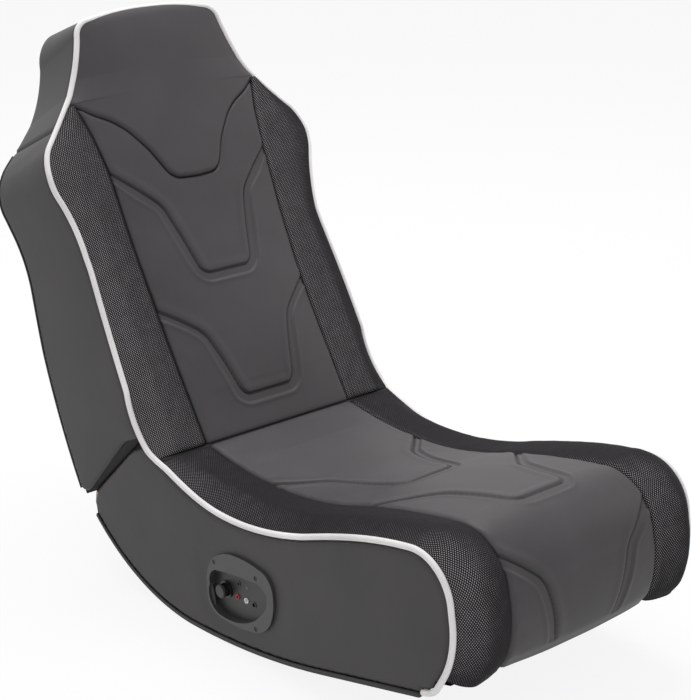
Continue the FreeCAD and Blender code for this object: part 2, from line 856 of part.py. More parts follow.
def back_bolster():
    """The mesh bolster on the back's +X side."""
    wires = []
    for t in back_heights:
        if t > bolster_top:
            continue
        sink = back_sink(t)
        inner = between(seam_half_line, t) + seam_gap / 2
        seam = between(back_seam_line, t) - sink
        piping = between([(height, n) for n, height in back_piping_line], t)
        beside = edge_x(t, piping) - piping_radius + hug
        outer = edge_x(t, piping) + 2
        roll = min(seam_roll, (beside - inner) * 0.3)
        ridge_x = inner + (beside - inner) * ridge_at
        ridge = seam + 1.5 + (back_ridge_rise - 1.5) * crown_share(t)
        top = min(piping + piping_radius - 0.5, ridge - 2)
        ledge = piping - piping_radius + hug
        low = seam - seam_depth
        section = {
            "arcs": [
                ((inner, low), (inner + roll * 0.25, low + seam_depth * 0.75), (inner + roll, seam + 1)),
                ((inner + roll, seam + 1), (ridge_x, ridge), (beside, top)),
            ],
            "lines": [(beside, top), (beside, ledge), (outer, ledge), (outer, back_pad_floor),
                      (inner, back_pad_floor), (inner, low)],
        }
        wires.append(pad_section(section, back_lift(t)))
    return Part.makeLoft(wires, True, False)


def head_pad():
    """The raised headrest pad, its lower edge still uncut."""
    wires = []
    for t in head_heights:
        piping = between([(height, n) for n, height in back_piping_line], t)
        wide = edge_x(min(t, head_shoulder), piping) - piping_radius + hug
        half = min(wide, head_half) if t < head_side_start else wide
        edge = piping + piping_radius - 2
        if t < head_side_start:
            edge = between(back_seam_line, t)
        middle = between(back_centre_line, t) + head_rise
        fall = between([(head_fall_start, 0), (head_heights[-1], 1)], t)
        middle = middle + (edge + 2 - middle) * fall
        shoulder = edge + min(4.5, (middle - edge) * 0.6)
        section = {
            "arcs": [
                ((-half, edge), (-half + 3, edge + (shoulder - edge) * 0.65), (-half + 10, shoulder)),
                ((-half + 10, shoulder), (0, middle), (half - 10, shoulder)),
                ((half - 10, shoulder), (half - 3, edge + (shoulder - edge) * 0.65), (half, edge)),
            ],
            "lines": [(half, edge), (half, back_pad_floor), (-half, back_pad_floor), (-half, edge)],
        }
        wires.append(pad_section(section, back_lift(t)))
    return Part.makeLoft(wires, True, False)


def head_cut(gap):
    """A prism above the headrest pad's lower edge, moved up by a gap."""
    side = [(x, t + gap) for x, t in head_edge]
    wide = [(side[0][0] + 90, side[0][1] + 56), (side[0][0] + 90, 700)]
    right = wide[::-1] + side
    outline = right + [(-x, t) for x, t in right[::-1]]
    return polygon_plate(outline, lambda x, t: on_back(x, -80, t), Vector(0, -160, 0))


def back_tube(radius):
    """A cord along the piping around the back."""
    line = [(t, n) for n, t in back_piping_line]
    path = []
    whole_front = sampled(outline_points(0, 0), 4)
    whole_rear = sampled(outline_points(0, rear_outline_depth), 4)
    for front, rear in zip(whole_front, whole_rear):
        n = between(line, front[1])
        share = -n / rear_outline_depth
        x = front[0] + (rear[0] - front[0]) * share
        path.append(on_back(x, n, front[1] + (rear[1] - front[1]) * share))
    upper = [p for p in path if p.z > piping_knee * 2]
    ends = [on_back(edge_x(t, between(line, t)), between(line, t), t) for t in (piping_foot, piping_knee)]
    others = [Vector(-p.x, p.y, p.z) for p in ends[::-1]]
    return tube(ends + upper + others, radius)


def make_back_pads():
    """Centre cushion, headrest pad and bolsters of the back."""
    inside = outline_solid(cover_thickness / 2 + soft_gap)
    pad = back_centre(0, 0)
    lowered = back_centre(channel_depth, channel_spread)
    for upper, lower in back_channels:
        pad = channel_cut(pad, lowered, upper, lower, lambda x, t: on_back(x, back_pad_floor / 2, t),
                          Vector(0, -80, 0))
    pad = pad.cut(head_cut(-head_gap))
    save("back_centre_cushion", back_place(pad))
    room = ear_room()
    tube_room = back_tube(room_radius)
    bolster = back_bolster().common(inside).cut(room).cut(head_cut(-head_gap)).cut(tube_room)
    centre = on_back(speaker_x(), speaker_pocket_top, speaker_t)
    pocket = rod(speaker_pocket_radius, centre, beyond, Vector(0, 1, 0))
    bolster = bolster.cut(pocket)
    save("back_bolster_left", back_place(bolster))
    save("back_bolster_right", back_place(mirrored(bolster)))
    beside = outline_solid(piping_radius - hug)
    head = head_pad().common(head_cut(0)).common(beside).cut(tube_room)
    save("headrest_pad", back_place(head))


def make_back_shell():
    """Covers, piping, deck, frames and rails of the back."""
    wall = outline_solid(-cover_thickness / 2).cut(outline_solid(cover_thickness / 2))
    inside = outline_solid(cover_thickness / 2 + soft_gap)
    between_frames = outline_solid(cover_thickness / 2 + soft_gap + back_frame_thickness)
    frame_wall = inside.cut(between_frames)
    behind = cover_drop
    profile = side_profile(behind, 0)
    seam_at = [(beyond, head_seam(beyond)), (-beyond, head_seam(-beyond))]
    under_seam = seam_at[::-1] + [(beyond, back_floor), (-beyond, back_floor)]
    top = beyond * 3
    over_seam = [(n, t + soft_gap) for n, t in seam_at] + [(-beyond, top), (beyond, top)]
    side = wall.common(keep(profile, 0, beyond)).common(keep(under_seam, 0, beyond))
    save("back_side_cover_left", back_place(side))
    save("back_side_cover_right", back_place(mirrored(side)))
    head = wall.common(keep(profile, -beyond, beyond)).common(keep(over_seam, -beyond, beyond))
    save("headrest_side_cover", back_place(head))

    save("back_piping", back_place(back_tube(piping_radius)))

    deck_front = back_pad_floor - soft_gap
    deck_rear = deck_front - back_deck_thickness
    deck_block = keep(box_points(deck_front, deck_rear, board_top, deck_up), -beyond, beyond)
    deck = deck_block.common(inside).cut(ear_room())
    for sign in (1, -1):
        centre = on_back(sign * speaker_x(), 0, speaker_t)
        hole = rod(speaker_radius - speaker_seat, centre, beyond, Vector(0, 1, 0))
        deck = deck.cut(hole)
    save("back_deck", back_place(deck))

    skin = cloth_thickness + soft_gap
    frame = frame_wall.common(keep(frame_sides(deck_rear, skin), 0, beyond))
    save("back_side_frame_left", back_place(frame))
    save("back_side_frame_right", back_place(mirrored(frame)))

    head_rear = deck_rear - back_frame_thickness
    head_plate = keep(box_points(deck_rear, head_rear, head_frame_low, deck_up), -beyond, beyond)
    save("headrest_frame", back_place(head_plate.common(inside)))

    shoulder_rail_t = speaker_t + speaker_radius + shoulder_rail_gap
    for name, t in (("back_middle_rail", back_middle_rail_t), ("back_shoulder_rail", shoulder_rail_t)):
        rail = keep(box_points(deck_rear, deck_rear - rail_height, t, t + rail_width), -beyond, beyond)
        save(name, back_place(rail.common(between_frames)))

    front_skin = rear_line(cloth_thickness)
    rear_skin = rear_line(0)
    low_cut = back_heel[1] + 1
    skin_points = [p for p in rear_skin if p[1] > low_cut] + [p for p in front_skin if p[1] > low_cut][::-1]
    cover = keep(skin_points, -beyond, beyond).common(inside)
    save("rear_cover", back_place(cover))

    reach = frame_inner - side_gap
    board = block(-reach, reach, -deck_front, back_board_rear, board_top - back_board_thickness, board_top)
    save("back_hinge_board", back_place(board.cut(leaf_screws(1))))
    cleat = block(reach - cleat_width, beyond, -deck_rear, hinge_board_rear,
                  board_top, board_top + cleat_height)
    cleat = cleat.common(between_frames).cut(ear_room())
    save("back_corner_block_left", back_place(cleat))
    save("back_corner_block_right", back_place(mirrored(cleat)))


def frame_sides(front, skin):
    """The (n, t) outline of a back side frame behind the deck."""
    share = (front - slot_front[0]) / (slot_rear[0] - slot_front[0])
    slot_t = slot_front[1] + (slot_rear[1] - slot_front[1]) * share + slot_gap
    rear = [p for p in rear_line(skin) if back_heel[1] + 5 < p[1] < frame_top]
    top_n = between([(t, n) for n, t in rear_line(skin)], frame_top)
    return ([(front, slot_t), (slot_rear[0], slot_rear[1] + slot_gap), (back_heel[0] + skin, back_heel[1])]
            + rear + [(top_n, frame_top), (front, frame_top)])


def hinge_axis(x):
    """The point of the hinge line at one place across the chair."""
    return on_back(x, -hinge_inset, -hinge_drop)


def leaf_screws(side):
    """The screws of the leaves on the back (1) or on the seat (-1)."""
    solids = []
    surface = -hinge_drop + side * hinge_leaf_gap
    n = -hinge_inset - hinge_leaf_reach + hinge_screw_setback
    way = Vector(0, 0, side)
    for centre in (-hinge_leaf_centre, hinge_leaf_centre):
        for shift in (-hinge_screw_spacing / 2, hinge_screw_spacing / 2):
            spot = on_back(centre + shift, n, surface)
            head = rod(hinge_screw_head_radius, spot, hinge_screw_head_height, way)
            solids.append(head.fuse(rod(hinge_screw_radius, spot, hinge_screw_length, way)))
    return Part.makeCompound(solids)


def hinge_leaf(centre, side):
    """One leaf: the back's (1) or the seat's (-1), with its own knuckles."""
    step = hinge_leaf_width / hinge_knuckle_count
    x0 = centre - hinge_leaf_width / 2
    near = -hinge_drop + side * hinge_leaf_gap
    far = near + side * hinge_leaf_thickness
    low, high = min(near, far), max(near, far)
    start = hinge_inset + hinge_knuckle_radius + hinge_knuckle_gap
    leaf = block(x0, x0 + hinge_leaf_width, start, hinge_inset + hinge_leaf_reach, low, high)
    for i in range(hinge_knuckle_count):
        if i % 2 == (0 if side > 0 else 1):
            continue
        a = x0 + i * step + hinge_knuckle_gap / 2
        b = a + step - hinge_knuckle_gap
        leaf = leaf.fuse(block(a, b, hinge_inset, start, low, high))
        leaf = leaf.fuse(rod(hinge_knuckle_radius, hinge_axis(a), b - a, Vector(1, 0, 0)))
    bore_radius = hinge_pin_radius + hinge_pin_clearance
    bore = rod(bore_radius, hinge_axis(x0 - 1), hinge_leaf_width + 2, Vector(1, 0, 0))
    return leaf.cut(bore).cut(leaf_screws(side))


def make_hinges():
    """Two butt hinges between the seat's board and the back's board."""
    pins = []
    for name, sign in (("left", 1), ("right", -1)):
        centre = sign * hinge_leaf_centre
        save("seat_hinge_leaf_" + name, back_place(hinge_leaf(centre, -1)))
        save("back_hinge_leaf_" + name, back_place(hinge_leaf(centre, 1)))
        x0 = centre - hinge_leaf_width / 2
        length = hinge_leaf_width
        pins.append(rod(hinge_pin_radius, hinge_axis(x0), length, Vector(1, 0, 0)))
    save("hinge_pins", back_place(Part.makeCompound(pins)))
    save("seat_hinge_screws", back_place(leaf_screws(-1)))
    save("back_hinge_screws", back_place(leaf_screws(1)))


def speaker_x():
    """Half the distance between the speakers: each stands just inside its side frame."""
    wall = cover_thickness / 2 + soft_gap + back_frame_thickness
    heights = (speaker_t - speaker_radius, speaker_t, speaker_t + speaker_radius)
    room = min(edge_x(t, back_pad_floor) for t in heights)
    return room - wall - speaker_radius - speaker_side_gap


def turned(profile, spot):
    """A piece turned about the speaker's axis from (radius, depth) points."""
    points = [spot + Vector(radius, depth, 0) for radius, depth in profile]
    edges = [Part.LineSegment(a, b).toShape() for a, b in zip(points, points[1:] + points[:1])]
    return Part.Face(Part.Wire(edges)).revolve(spot, Vector(0, 1, 0), 360)


def make_speakers():
    """A speaker behind the mesh at each shoulder."""
    magnets = []
    rim = speaker_radius - speaker_rim
    depth = speaker_basket_depth
    deep = depth - speaker_wall
    basket = [
        (rim, 0), (speaker_radius, 0), (speaker_radius, speaker_flange), (rim + speaker_wall, speaker_flange),
        (speaker_magnet_radius, deep), (speaker_magnet_radius, depth), (0, depth), (0, deep),
        (speaker_magnet_radius - speaker_wall, deep), (rim, speaker_flange),
    ]
    cone = [
        (rim, 0), (rim, speaker_cone_wall), (rim - speaker_wall * 2, speaker_cone_wall),
        (speaker_dust_cap_radius, speaker_cone_depth), (0, speaker_cone_depth),
        (0, speaker_cone_depth - speaker_cone_wall), (speaker_dust_cap_radius - speaker_cone_wall / 2,
        speaker_cone_depth - speaker_cone_wall), (rim - speaker_wall * 2 - speaker_cone_wall / 2, 0),
    ]
    for name, sign in (("left", 1), ("right", -1)):
        spot = on_back(sign * speaker_x(), back_pad_floor - soft_gap - back_deck_thickness, speaker_t)
        save("speaker_frame_" + name, back_place(turned(basket, spot)))
        save("speaker_cone_" + name, back_place(turned(cone, spot)))
        behind = spot + Vector(0, depth, 0)
        magnets.append(rod(speaker_magnet_radius, behind, speaker_magnet_depth, Vector(0, 1, 0)))
    save("speaker_magnets", back_place(Part.makeCompound(magnets)))


def control_rod(radius, at, x0, x1):
    """A round bar across the chair at a (y, z) place."""
    return rod(radius, Vector(x0, *at), x1 - x0, Vector(1, 0, 0))


def panel_screw_solids():
    """The screws that hold the control panel."""
    solids = []
    for at in panel_screws:
        start = panel_face + panel_screw_sink
        head = control_rod(panel_screw_head_radius, at, start, start + panel_screw_head_height)
        solids.append(head.fuse(control_rod(panel_screw_radius, at, start, start + panel_screw_length)))
    return Part.makeCompound(solids)


def socket(at, radius, bore, depth):
    """A round socket in the panel's floor with its blind hole."""
    mouth = floor_face - socket_proud
    body = control_rod(radius, at, mouth, mouth + socket_depth)
    return body.cut(control_rod(bore, at, mouth, mouth + depth))


def make_controls():
    """The audio control panel on the seat's -X side."""
    screws = panel_screw_solids()
    flange = plug(panel_outline, 0, panel_face, -cover_outer)
    collar = plug(recess_outline, panel_wall, -cover_outer, floor_face)
    bezel = flange.fuse(collar).cut(plug(recess_outline, 0, panel_face - 1, floor_face + 1)).cut(screws)
    for at in panel_screws:
        bezel = bezel.cut(control_rod(panel_screw_head_radius, at, panel_face - 1, -cover_outer - 1))
    save("control_bezel", seat_place(bezel))
    save("bezel_screws", seat_place(screws))

    plate_floor = plug(recess_outline, panel_wall, floor_face, floor_back)
    sockets = {
        "headphone_socket": (headphone_at, socket_radius, socket_bore_radius, socket_bore_depth),
        "red_line_socket": (red_socket_at, socket_radius, socket_bore_radius, socket_bore_depth),
        "white_line_socket": (white_socket_at, socket_radius, socket_bore_radius, socket_bore_depth),
        "power_inlet": (inlet_at, inlet_radius, inlet_bore_radius, inlet_depth),
    }
    for name, (at, radius, bore, depth) in sockets.items():
        plate_floor = plate_floor.cut(control_rod(radius, at, floor_face - 1, floor_back + 1))
        body = socket(at, radius, bore, depth)
        if name == "power_inlet":
            mouth = floor_face - socket_proud
            pin_end = mouth + inlet_depth + tiny
            body = body.fuse(control_rod(inlet_pin_radius, at, mouth + inlet_pin_setback, pin_end))
        save(name, seat_place(body))
    plate_floor = plate_floor.cut(control_rod(led_radius, led_at, floor_face - 1, floor_back + 1))
    save("status_led", seat_place(control_rod(led_radius, led_at, floor_face - led_proud,
                                             floor_face - led_proud + led_length)))
    plate_floor = plate_floor.cut(control_rod(bushing_radius, knob_at, floor_face - 1, floor_back + 1))
    save("control_faceplate", seat_place(plate_floor))

    shaft_end = floor_back + pot_depth - pot_wall
    pot = control_rod(bushing_radius, knob_at, floor_face, floor_back)
    pot = pot.fuse(control_rod(pot_radius, knob_at, floor_back, floor_back + pot_depth))
    pot = pot.cut(control_rod(shaft_radius + shaft_clearance, knob_at, floor_face - 1,
                              shaft_end + shaft_clearance))
    save("volume_potentiometer", seat_place(pot))
    knob_base = floor_face - knob_clearance
    flange_top = knob_base - knob_flange_height
    knob_top = flange_top - knob_height
    shaft_top = flange_top - shaft_grip
    save("volume_shaft", seat_place(control_rod(shaft_radius, knob_at, shaft_top, shaft_end)))
    knob = control_rod(knob_flange_radius, knob_at, flange_top, knob_base)
    knob = knob.fuse(control_rod(knob_radius, knob_at, knob_top, flange_top))
    knob = knob.cut(control_rod(shaft_radius, knob_at, shaft_top, knob_base + 1))
    save("volume_knob", seat_place(knob))

    outer = plug(recess_outline, panel_wall, floor_back, floor_back + housing_depth)
    hollow = plug(recess_outline, panel_wall - housing_wall, floor_back - 1,
                  floor_back + housing_depth - housing_wall)
    save("control_housing", seat_place(outer.cut(hollow)))
    board_at = floor_face - socket_proud + socket_depth
    circuit = plug(recess_outline, panel_wall - housing_wall - circuit_board_margin, board_at,
                   board_at + circuit_board_thickness)
    save("amplifier_board", seat_place(circuit))


make_seat_pads()
make_seat_shell()
make_seat_rails()
make_hinges()
make_back_pads()
make_back_shell()
make_speakers()
make_controls()

os.makedirs("parts", exist_ok=True)
for name, shape in parts.items():
    if not shape.isValid():
        print("INVALID", name)
    print(name, shape.ShapeType, len(shape.Solids), round(shape.Volume / 1000, 2), "cm3")
    shape.exportStep("parts/" + name + ".step")
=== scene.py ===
import json
import math

import bmesh
import bpy
import numpy as np
from mathutils import Matrix, Vector, noise
from mathutils.geometry import delaunay_2d_cdt


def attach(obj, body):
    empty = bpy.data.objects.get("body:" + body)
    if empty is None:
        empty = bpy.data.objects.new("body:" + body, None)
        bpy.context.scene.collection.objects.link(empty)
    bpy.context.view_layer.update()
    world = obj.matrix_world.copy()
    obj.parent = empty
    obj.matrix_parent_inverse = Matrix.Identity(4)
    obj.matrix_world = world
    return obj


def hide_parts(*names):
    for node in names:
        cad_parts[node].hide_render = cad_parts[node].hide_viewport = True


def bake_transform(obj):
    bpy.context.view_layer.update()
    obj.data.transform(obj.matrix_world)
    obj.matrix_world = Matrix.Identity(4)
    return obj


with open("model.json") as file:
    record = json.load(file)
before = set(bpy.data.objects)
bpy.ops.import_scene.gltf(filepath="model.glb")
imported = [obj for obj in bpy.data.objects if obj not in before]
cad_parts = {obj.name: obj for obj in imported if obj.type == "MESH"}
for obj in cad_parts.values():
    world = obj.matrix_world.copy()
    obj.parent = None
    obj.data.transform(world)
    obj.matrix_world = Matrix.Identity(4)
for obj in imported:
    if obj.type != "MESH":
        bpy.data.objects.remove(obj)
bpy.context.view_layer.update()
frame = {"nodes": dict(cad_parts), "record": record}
nodes = frame["nodes"]

# The crease between seat and back, in metres, and the lean of the back. Seat lines are (y, z) points
# in millimetres from the crease. Back lines are (x, n, t): n forward of its front, t up it.
CREASE = np.array([0.0, 0.088, 0.221])
LEAN = math.radians(30.5)
MM = 0.001
SIDES = ((1, "left"), (-1, "right"))

# Camera first: the photograph's viewpoint, measured from the crease
CAMERA_AT = Vector((-1.48633, -1.82944, 0.93809)) + Vector(CREASE)
CAMERA_RIGHT = Vector((0.751229, -0.660042, 0.0))
CAMERA_UP = Vector((0.219798, 0.250163, 0.942925))
CAMERA_BACK = Vector((-0.62237, -0.708352, 0.333006))
camera_data = bpy.data.cameras.new("camera")
camera_data.lens, camera_data.sensor_width = 92.57, 36.0
camera = bpy.data.objects.new("camera", camera_data)
bpy.context.scene.collection.objects.link(camera)
turn = Matrix((CAMERA_RIGHT, CAMERA_UP, CAMERA_BACK)).transposed()
camera.matrix_world = Matrix.Translation(CAMERA_AT) @ turn.to_4x4()
bpy.context.scene.camera = camera


# Curves

def arc_samples(points, step):
    """Points about a step apart on arcs through plane points, with their place counted in points."""
    found = []
    for i in range(0, len(points) - 2, 2):
        a, b, c = (np.array(p, float) for p in points[i:i + 3])
        length = np.linalg.norm(b - a) + np.linalg.norm(c - b)
        count = max(int(length / step), 2)
        turn_size = (b - a)[0] * (c - a)[1] - (b - a)[1] * (c - a)[0]
        for k in range(count):
            share = k / count
            if abs(turn_size) < 1e-6:
                spot = a + (c - a) * share
            else:
                spot = on_circle(a, b, c, share)
            found.append((spot[0], spot[1], i + 2 * share))
    found.append((points[-1][0], points[-1][1], len(points) - 1))
    return np.array(found)


def on_circle(a, b, c, share):
    """The point at a share of the arc from a through b to c."""
    d = 2 * (a[0] * (b[1] - c[1]) + b[0] * (c[1] - a[1]) + c[0] * (a[1] - b[1]))
    sa, sb, sc = (float(p @ p) for p in (a, b, c))
    x = (sa * (b[1] - c[1]) + sb * (c[1] - a[1]) + sc * (a[1] - b[1])) / d
    y = (sa * (c[0] - b[0]) + sb * (a[0] - c[0]) + sc * (b[0] - a[0])) / d
    start = math.atan2(a[1] - y, a[0] - x)
    middle = math.remainder(math.atan2(b[1] - y, b[0] - x) - start, math.tau)
    sweep = math.remainder(math.atan2(c[1] - y, c[0] - x) - start, math.tau)
    if middle * sweep < 0:
        sweep -= math.copysign(math.tau, sweep)
    radius = math.hypot(a[0] - x, a[1] - y)
    angle = start + sweep * share
    return np.array([x + radius * math.cos(angle), y + radius * math.sin(angle)])


def smooth(xs, ys, at):
    """A smooth curve through points, at any positions."""
    xs, ys, at = np.array(xs, float), np.array(ys, float), np.asarray(at, float)
    slopes = np.gradient(ys, xs)
    i = np.clip(np.searchsorted(xs, at) - 1, 0, len(xs) - 2)
    width = xs[i + 1] - xs[i]
    u = np.clip((at - xs[i]) / width, 0, 1)
    h0 = 2 * u ** 3 - 3 * u ** 2 + 1
    h1 = u ** 3 - 2 * u ** 2 + u
    h2 = -2 * u ** 3 + 3 * u ** 2
    h3 = u ** 3 - u ** 2
    return h0 * ys[i] + h1 * width * slopes[i] + h2 * ys[i + 1] + h3 * width * slopes[i + 1]


def quarter_round(gap, radius):
    """The rise from 0 to 1 of a quarter circle over a distance from an edge."""
    return np.sqrt(np.clip(1 - (1 - np.clip(gap / radius, 0, 1)) ** 2, 0, 1))


def spread(count, crowding, half=1.0):
    """Places across a pad from -half to half, closer together at its edges."""
    reach = math.pi / 2 * crowding
    return half * np.sin(np.linspace(-1, 1, count) * reach) / math.sin(reach)


def steady(x):
    """A smooth step from 0 to 1."""
    x = np.clip(x, 0, 1)
    return x * x * (3 - 2 * x)


def rounded(points, radius):
    """A polyline with its corners rounded off."""
    points = [np.array(p, float) for p in points]
    out = [points[0]]
    for a, b, c in zip(points, points[1:], points[2:]):
        reach = min(radius, np.linalg.norm(b - a) * 0.45, np.linalg.norm(c - b) * 0.45)
        first = b + (a - b) / np.linalg.norm(a - b) * reach
        last = b + (c - b) / np.linalg.norm(c - b) * reach
        for k in range(7):
            u = k / 6
            out.append(first * (1 - u) ** 2 + b * 2 * u * (1 - u) + last * u ** 2)
    out.append(points[-1])
    return np.array(out)


def run_lengths(points):
    """The length run along a line of points up to each of them."""
    steps = np.linalg.norm(np.diff(points, axis=0), axis=1)
    return np.concatenate([[0], np.cumsum(steps)])


def moved_left(points, distance):
    """Plane points moved to the left of the way they run."""
    points = np.asarray(points, float)
    run = np.gradient(points, axis=0)
    run /= np.linalg.norm(run, axis=1)[:, None]
    return points + np.stack([-run[:, 1], run[:, 0]], -1) * distance


def evenly(points, step):
    """A polyline's points spread evenly."""
    points = np.asarray(points, float)
    run = run_lengths(points)
    at = np.linspace(0, run[-1], max(int(run[-1] / step), 2) + 1)
    return np.stack([np.interp(at, run, points[:, 0]), np.interp(at, run, points[:, 1])], -1)


def relaxed(line, times):
    """A line whose inner points are drawn towards their neighbours several times."""
    for _ in range(times):
        line[1:-1] = line[1:-1] * 0.5 + (line[:-2] + line[2:]) * 0.25
    return line


def level_over(line, x):
    """The second coordinate of a line where its first one is x."""
    order = np.argsort(line[:, 0])
    return np.interp(x, line[order, 0], line[order, 1])


def closed(loop):
    """A loop of points with its first one again at its end."""
    return np.vstack([loop, loop[:1]])


def line_distance(px, py, line):
    """Distance of many plane points to a polyline."""
    best = np.full(np.shape(px), 1e9)
    for a, b in zip(line, line[1:]):
        d = b - a
        u = np.clip(((px - a[0]) * d[0] + (py - a[1]) * d[1]) / max(d @ d, 1e-9), 0, 1)
        best = np.minimum(best, np.hypot(px - a[0] - d[0] * u, py - a[1] - d[1] * u))
    return best


# Forms of the seat, in millimetres
SEAM_HALF = 128.0
PIPING_HALF = 208.0
PIPING_RADIUS = 4.0
SEAT_LINE = [
    (-4, 0), (-58, -9), (-120, -13), (-205, -9), (-290, 8), (-385, 35),
    (-480, 53), (-543, 37), (-568, -10), (-573, -60), (-558, -112),
]
PIPING_DROPS = [7, 23, 18, 8, 14, 19]
RIDGE_RISES = [2, 2, 3, 8, 10, 8]
PIPING_CURL = [(-531, -121.5), (-521, -127.5), (-510, -131)]
PAD_DEPTH = 40.0
SEAM_DEPTH = 4.0
CREASE_ROLL = ([0, 2, 6, 14], [3.2, 1.1, 0.3, 0])
CREASE_REACH = 1.8
CROWN_RUN = 70.0
SEAT_CROWN = 5.0

path = arc_samples(SEAT_LINE, 1.7)
lead = path[0] - (path[1] - path[0]) / np.linalg.norm((path[1] - path[0])[:2]) * CREASE_REACH
path = np.vstack([[lead[0], lead[1], 0], path])
path_y, path_z, path_place = path[:, 0], path[:, 1], path[:, 2] / 2
path_s = np.concatenate([[0], np.cumsum(np.hypot(np.diff(path_y), np.diff(path_z)))])
tangent_y, tangent_z = np.gradient(path_y, path_s), np.gradient(path_z, path_s)
tangent_size = np.hypot(tangent_y, tangent_z)
normal_y, normal_z = tangent_z / tangent_size, -tangent_y / tangent_size
path_drop = smooth(range(6), PIPING_DROPS, path_place)
path_rise = smooth(range(6), RIDGE_RISES, path_place)
path_end = path_s[-1]


def s_at_y(y):
    """Length along the seat's surface at a y before its nose."""
    return float(np.interp(-y, -path_y[path_y > -566], path_s[path_y > -566]))


def s_at_z(z):
    """Length along the seat's front at a height."""
    front = path_s > s_at_y(-520)
    return float(np.interp(-z, -path_z[front], path_s[front]))


def crease_sink(s):
    """How far pads are drawn in at the crease."""
    return np.interp(s, *CREASE_ROLL)


def crown_share(s):
    """How much of a pad's crown is there at a distance from the crease."""
    return 0.1 + 0.9 * np.clip(s / CROWN_RUN, 0, 1)


def in_space(x, y, z):
    """World points from millimetres across the chair and from the crease."""
    x, y, z = np.broadcast_arrays(x, y, z)
    return np.stack([x * MM, y * MM + CREASE[1], z * MM + CREASE[2]], -1)


def seat_point(x, s, height):
    """World points over the seat's surface."""
    y = np.interp(s, path_s, path_y) + np.interp(s, path_s, normal_y) * height
    z = np.interp(s, path_s, path_z) + np.interp(s, path_s, normal_z) * height
    return in_space(x, y, z)


def back_to_seat(n, t):
    """A back point (n, t) as a seat point (y, z)."""
    return t * math.sin(LEAN) - n * math.cos(LEAN), t * math.cos(LEAN) + n * math.sin(LEAN)


def from_back(spots):
    """Back points (n, t) as a list of seat points (y, z)."""
    return [back_to_seat(*spot) for spot in spots]


def back_point(x, n, t):
    """World points of the leaned back."""
    return in_space(x, *back_to_seat(n, t))


# Forms of the back
FRONT_OUTLINE = [
    (212, 0), (210, 140), (204, 262), (207, 322), (220, 374), (225, 410), (212, 446), (182, 480),
    (155, 513), (136, 550), (122, 590), (115, 606), (98, 615), (50, 622), (0, 624),
]
REAR_OUTLINE = [
    (213, 0), (211, 150), (204, 290), (205, 345), (217, 400), (222, 432), (208, 466), (180, 492),
    (155, 516), (134, 548), (118, 590), (110, 625), (92, 652), (50, 660), (0, 662),
]
OUTLINE_DEPTH = 200.0
PIPING_LINE = [
    (-8, -3), (-23, 35), (-20, 100), (-18, 190), (-17, 290), (-9, 350), (-3, 410), (-4, 470),
    (2, 530), (14, 580), (22, 626),
]
SEAM_LINE = ([0, 70, 200, 300, 396, 520], [0, -4, -8, -5, 3, 5])
CENTRE_LINE = ([0, 150, 234, 340, 400, 520, 590, 624], [2, 6, 5, 7, 9, 16, 26, 26])
SEAM_HALF_LINE = ([0, 210, 396, 450, 504], [128, 129, 135, 142, 155])
BACK_RIDGE = 4.0
PAD_FLOOR = -32.0
HEAD_EDGE = [(160, 501), (133, 481), (107, 467), (87, 450), (63, 418), (44, 380), (32, 371), (0, 369)]
HEAD_RISE = 2.5

front_outline = arc_samples(FRONT_OUTLINE, 2.0)
rear_outline = np.stack([
    np.interp(front_outline[:, 2], arc_samples(REAR_OUTLINE, 1.0)[:, 2], arc_samples(REAR_OUTLINE, 1.0)[:, k])
    for k in (0, 1)], -1)
piping_samples = arc_samples([(t, n) for n, t in PIPING_LINE], 2.0)


def outline_above(t):
    """The front outline's part above a height."""
    return front_outline[front_outline[:, 1] > t][:, :2]


def piping_n(t):
    """How far forward the piping lies at a height of the back."""
    return np.interp(t, piping_samples[:, 0], piping_samples[:, 1])


def at_depth(front, rear, n):
    """A value of the back's outline at a depth n, from its values at the front and the rear."""
    return front + (rear - front) * (-np.asarray(n) / OUTLINE_DEPTH)


def edge_x(t, n=0.0):
    """Half width of the back at a height below its top corners."""
    keep = front_outline[:, 1] < 607
    front = np.interp(t, front_outline[keep, 1], front_outline[keep, 0])
    rear = np.interp(t, rear_outline[:, 1], rear_outline[:, 0])
    return at_depth(front, rear, n)


# Channels pressed into the pads: upper and lower edge of each band
SEAT_CHANNELS = [
    ([(131, -135), (100, -166), (72, -192), (60, -230), (46, -290), (36, -304), (0, -304)],
     [(131, -149), (104, -175), (84, -194), (70, -236), (57, -294), (42, -318), (0, -319)]),
    ([(129, -329), (96, -364), (66, -395), (54, -440), (46, -484), (37, -495), (0, -495)],
     [(129, -341), (104, -369), (77, -400), (66, -440), (58, -488), (42, -509), (0, -510)]),
]
FRONT_CHANNEL = ([(128, 33), (98, 12), (73, -8), (60, -50), (50, -92)],
                 [(128, 20), (105, 4), (85, -14), (73, -54), (62, -92)])
BACK_CHANNELS = [
    ([(139, 399), (100, 365), (71, 337), (57, 290), (44, 238), (35, 230), (0, 230)],
     [(139, 389), (112, 358), (81, 332), (70, 286), (54, 230), (38, 217), (0, 217)]),
    ([(132, 198), (101, 174), (73, 149), (59, 109), (46, 60), (38, 50), (0, 50)],
     [(132, 186), (98, 159), (79, 141), (69, 99), (56, 48), (41, 37), (0, 37)]),
]
CHANNEL_DEPTH = 1.7
CHANNEL_GROOVE = 3.0


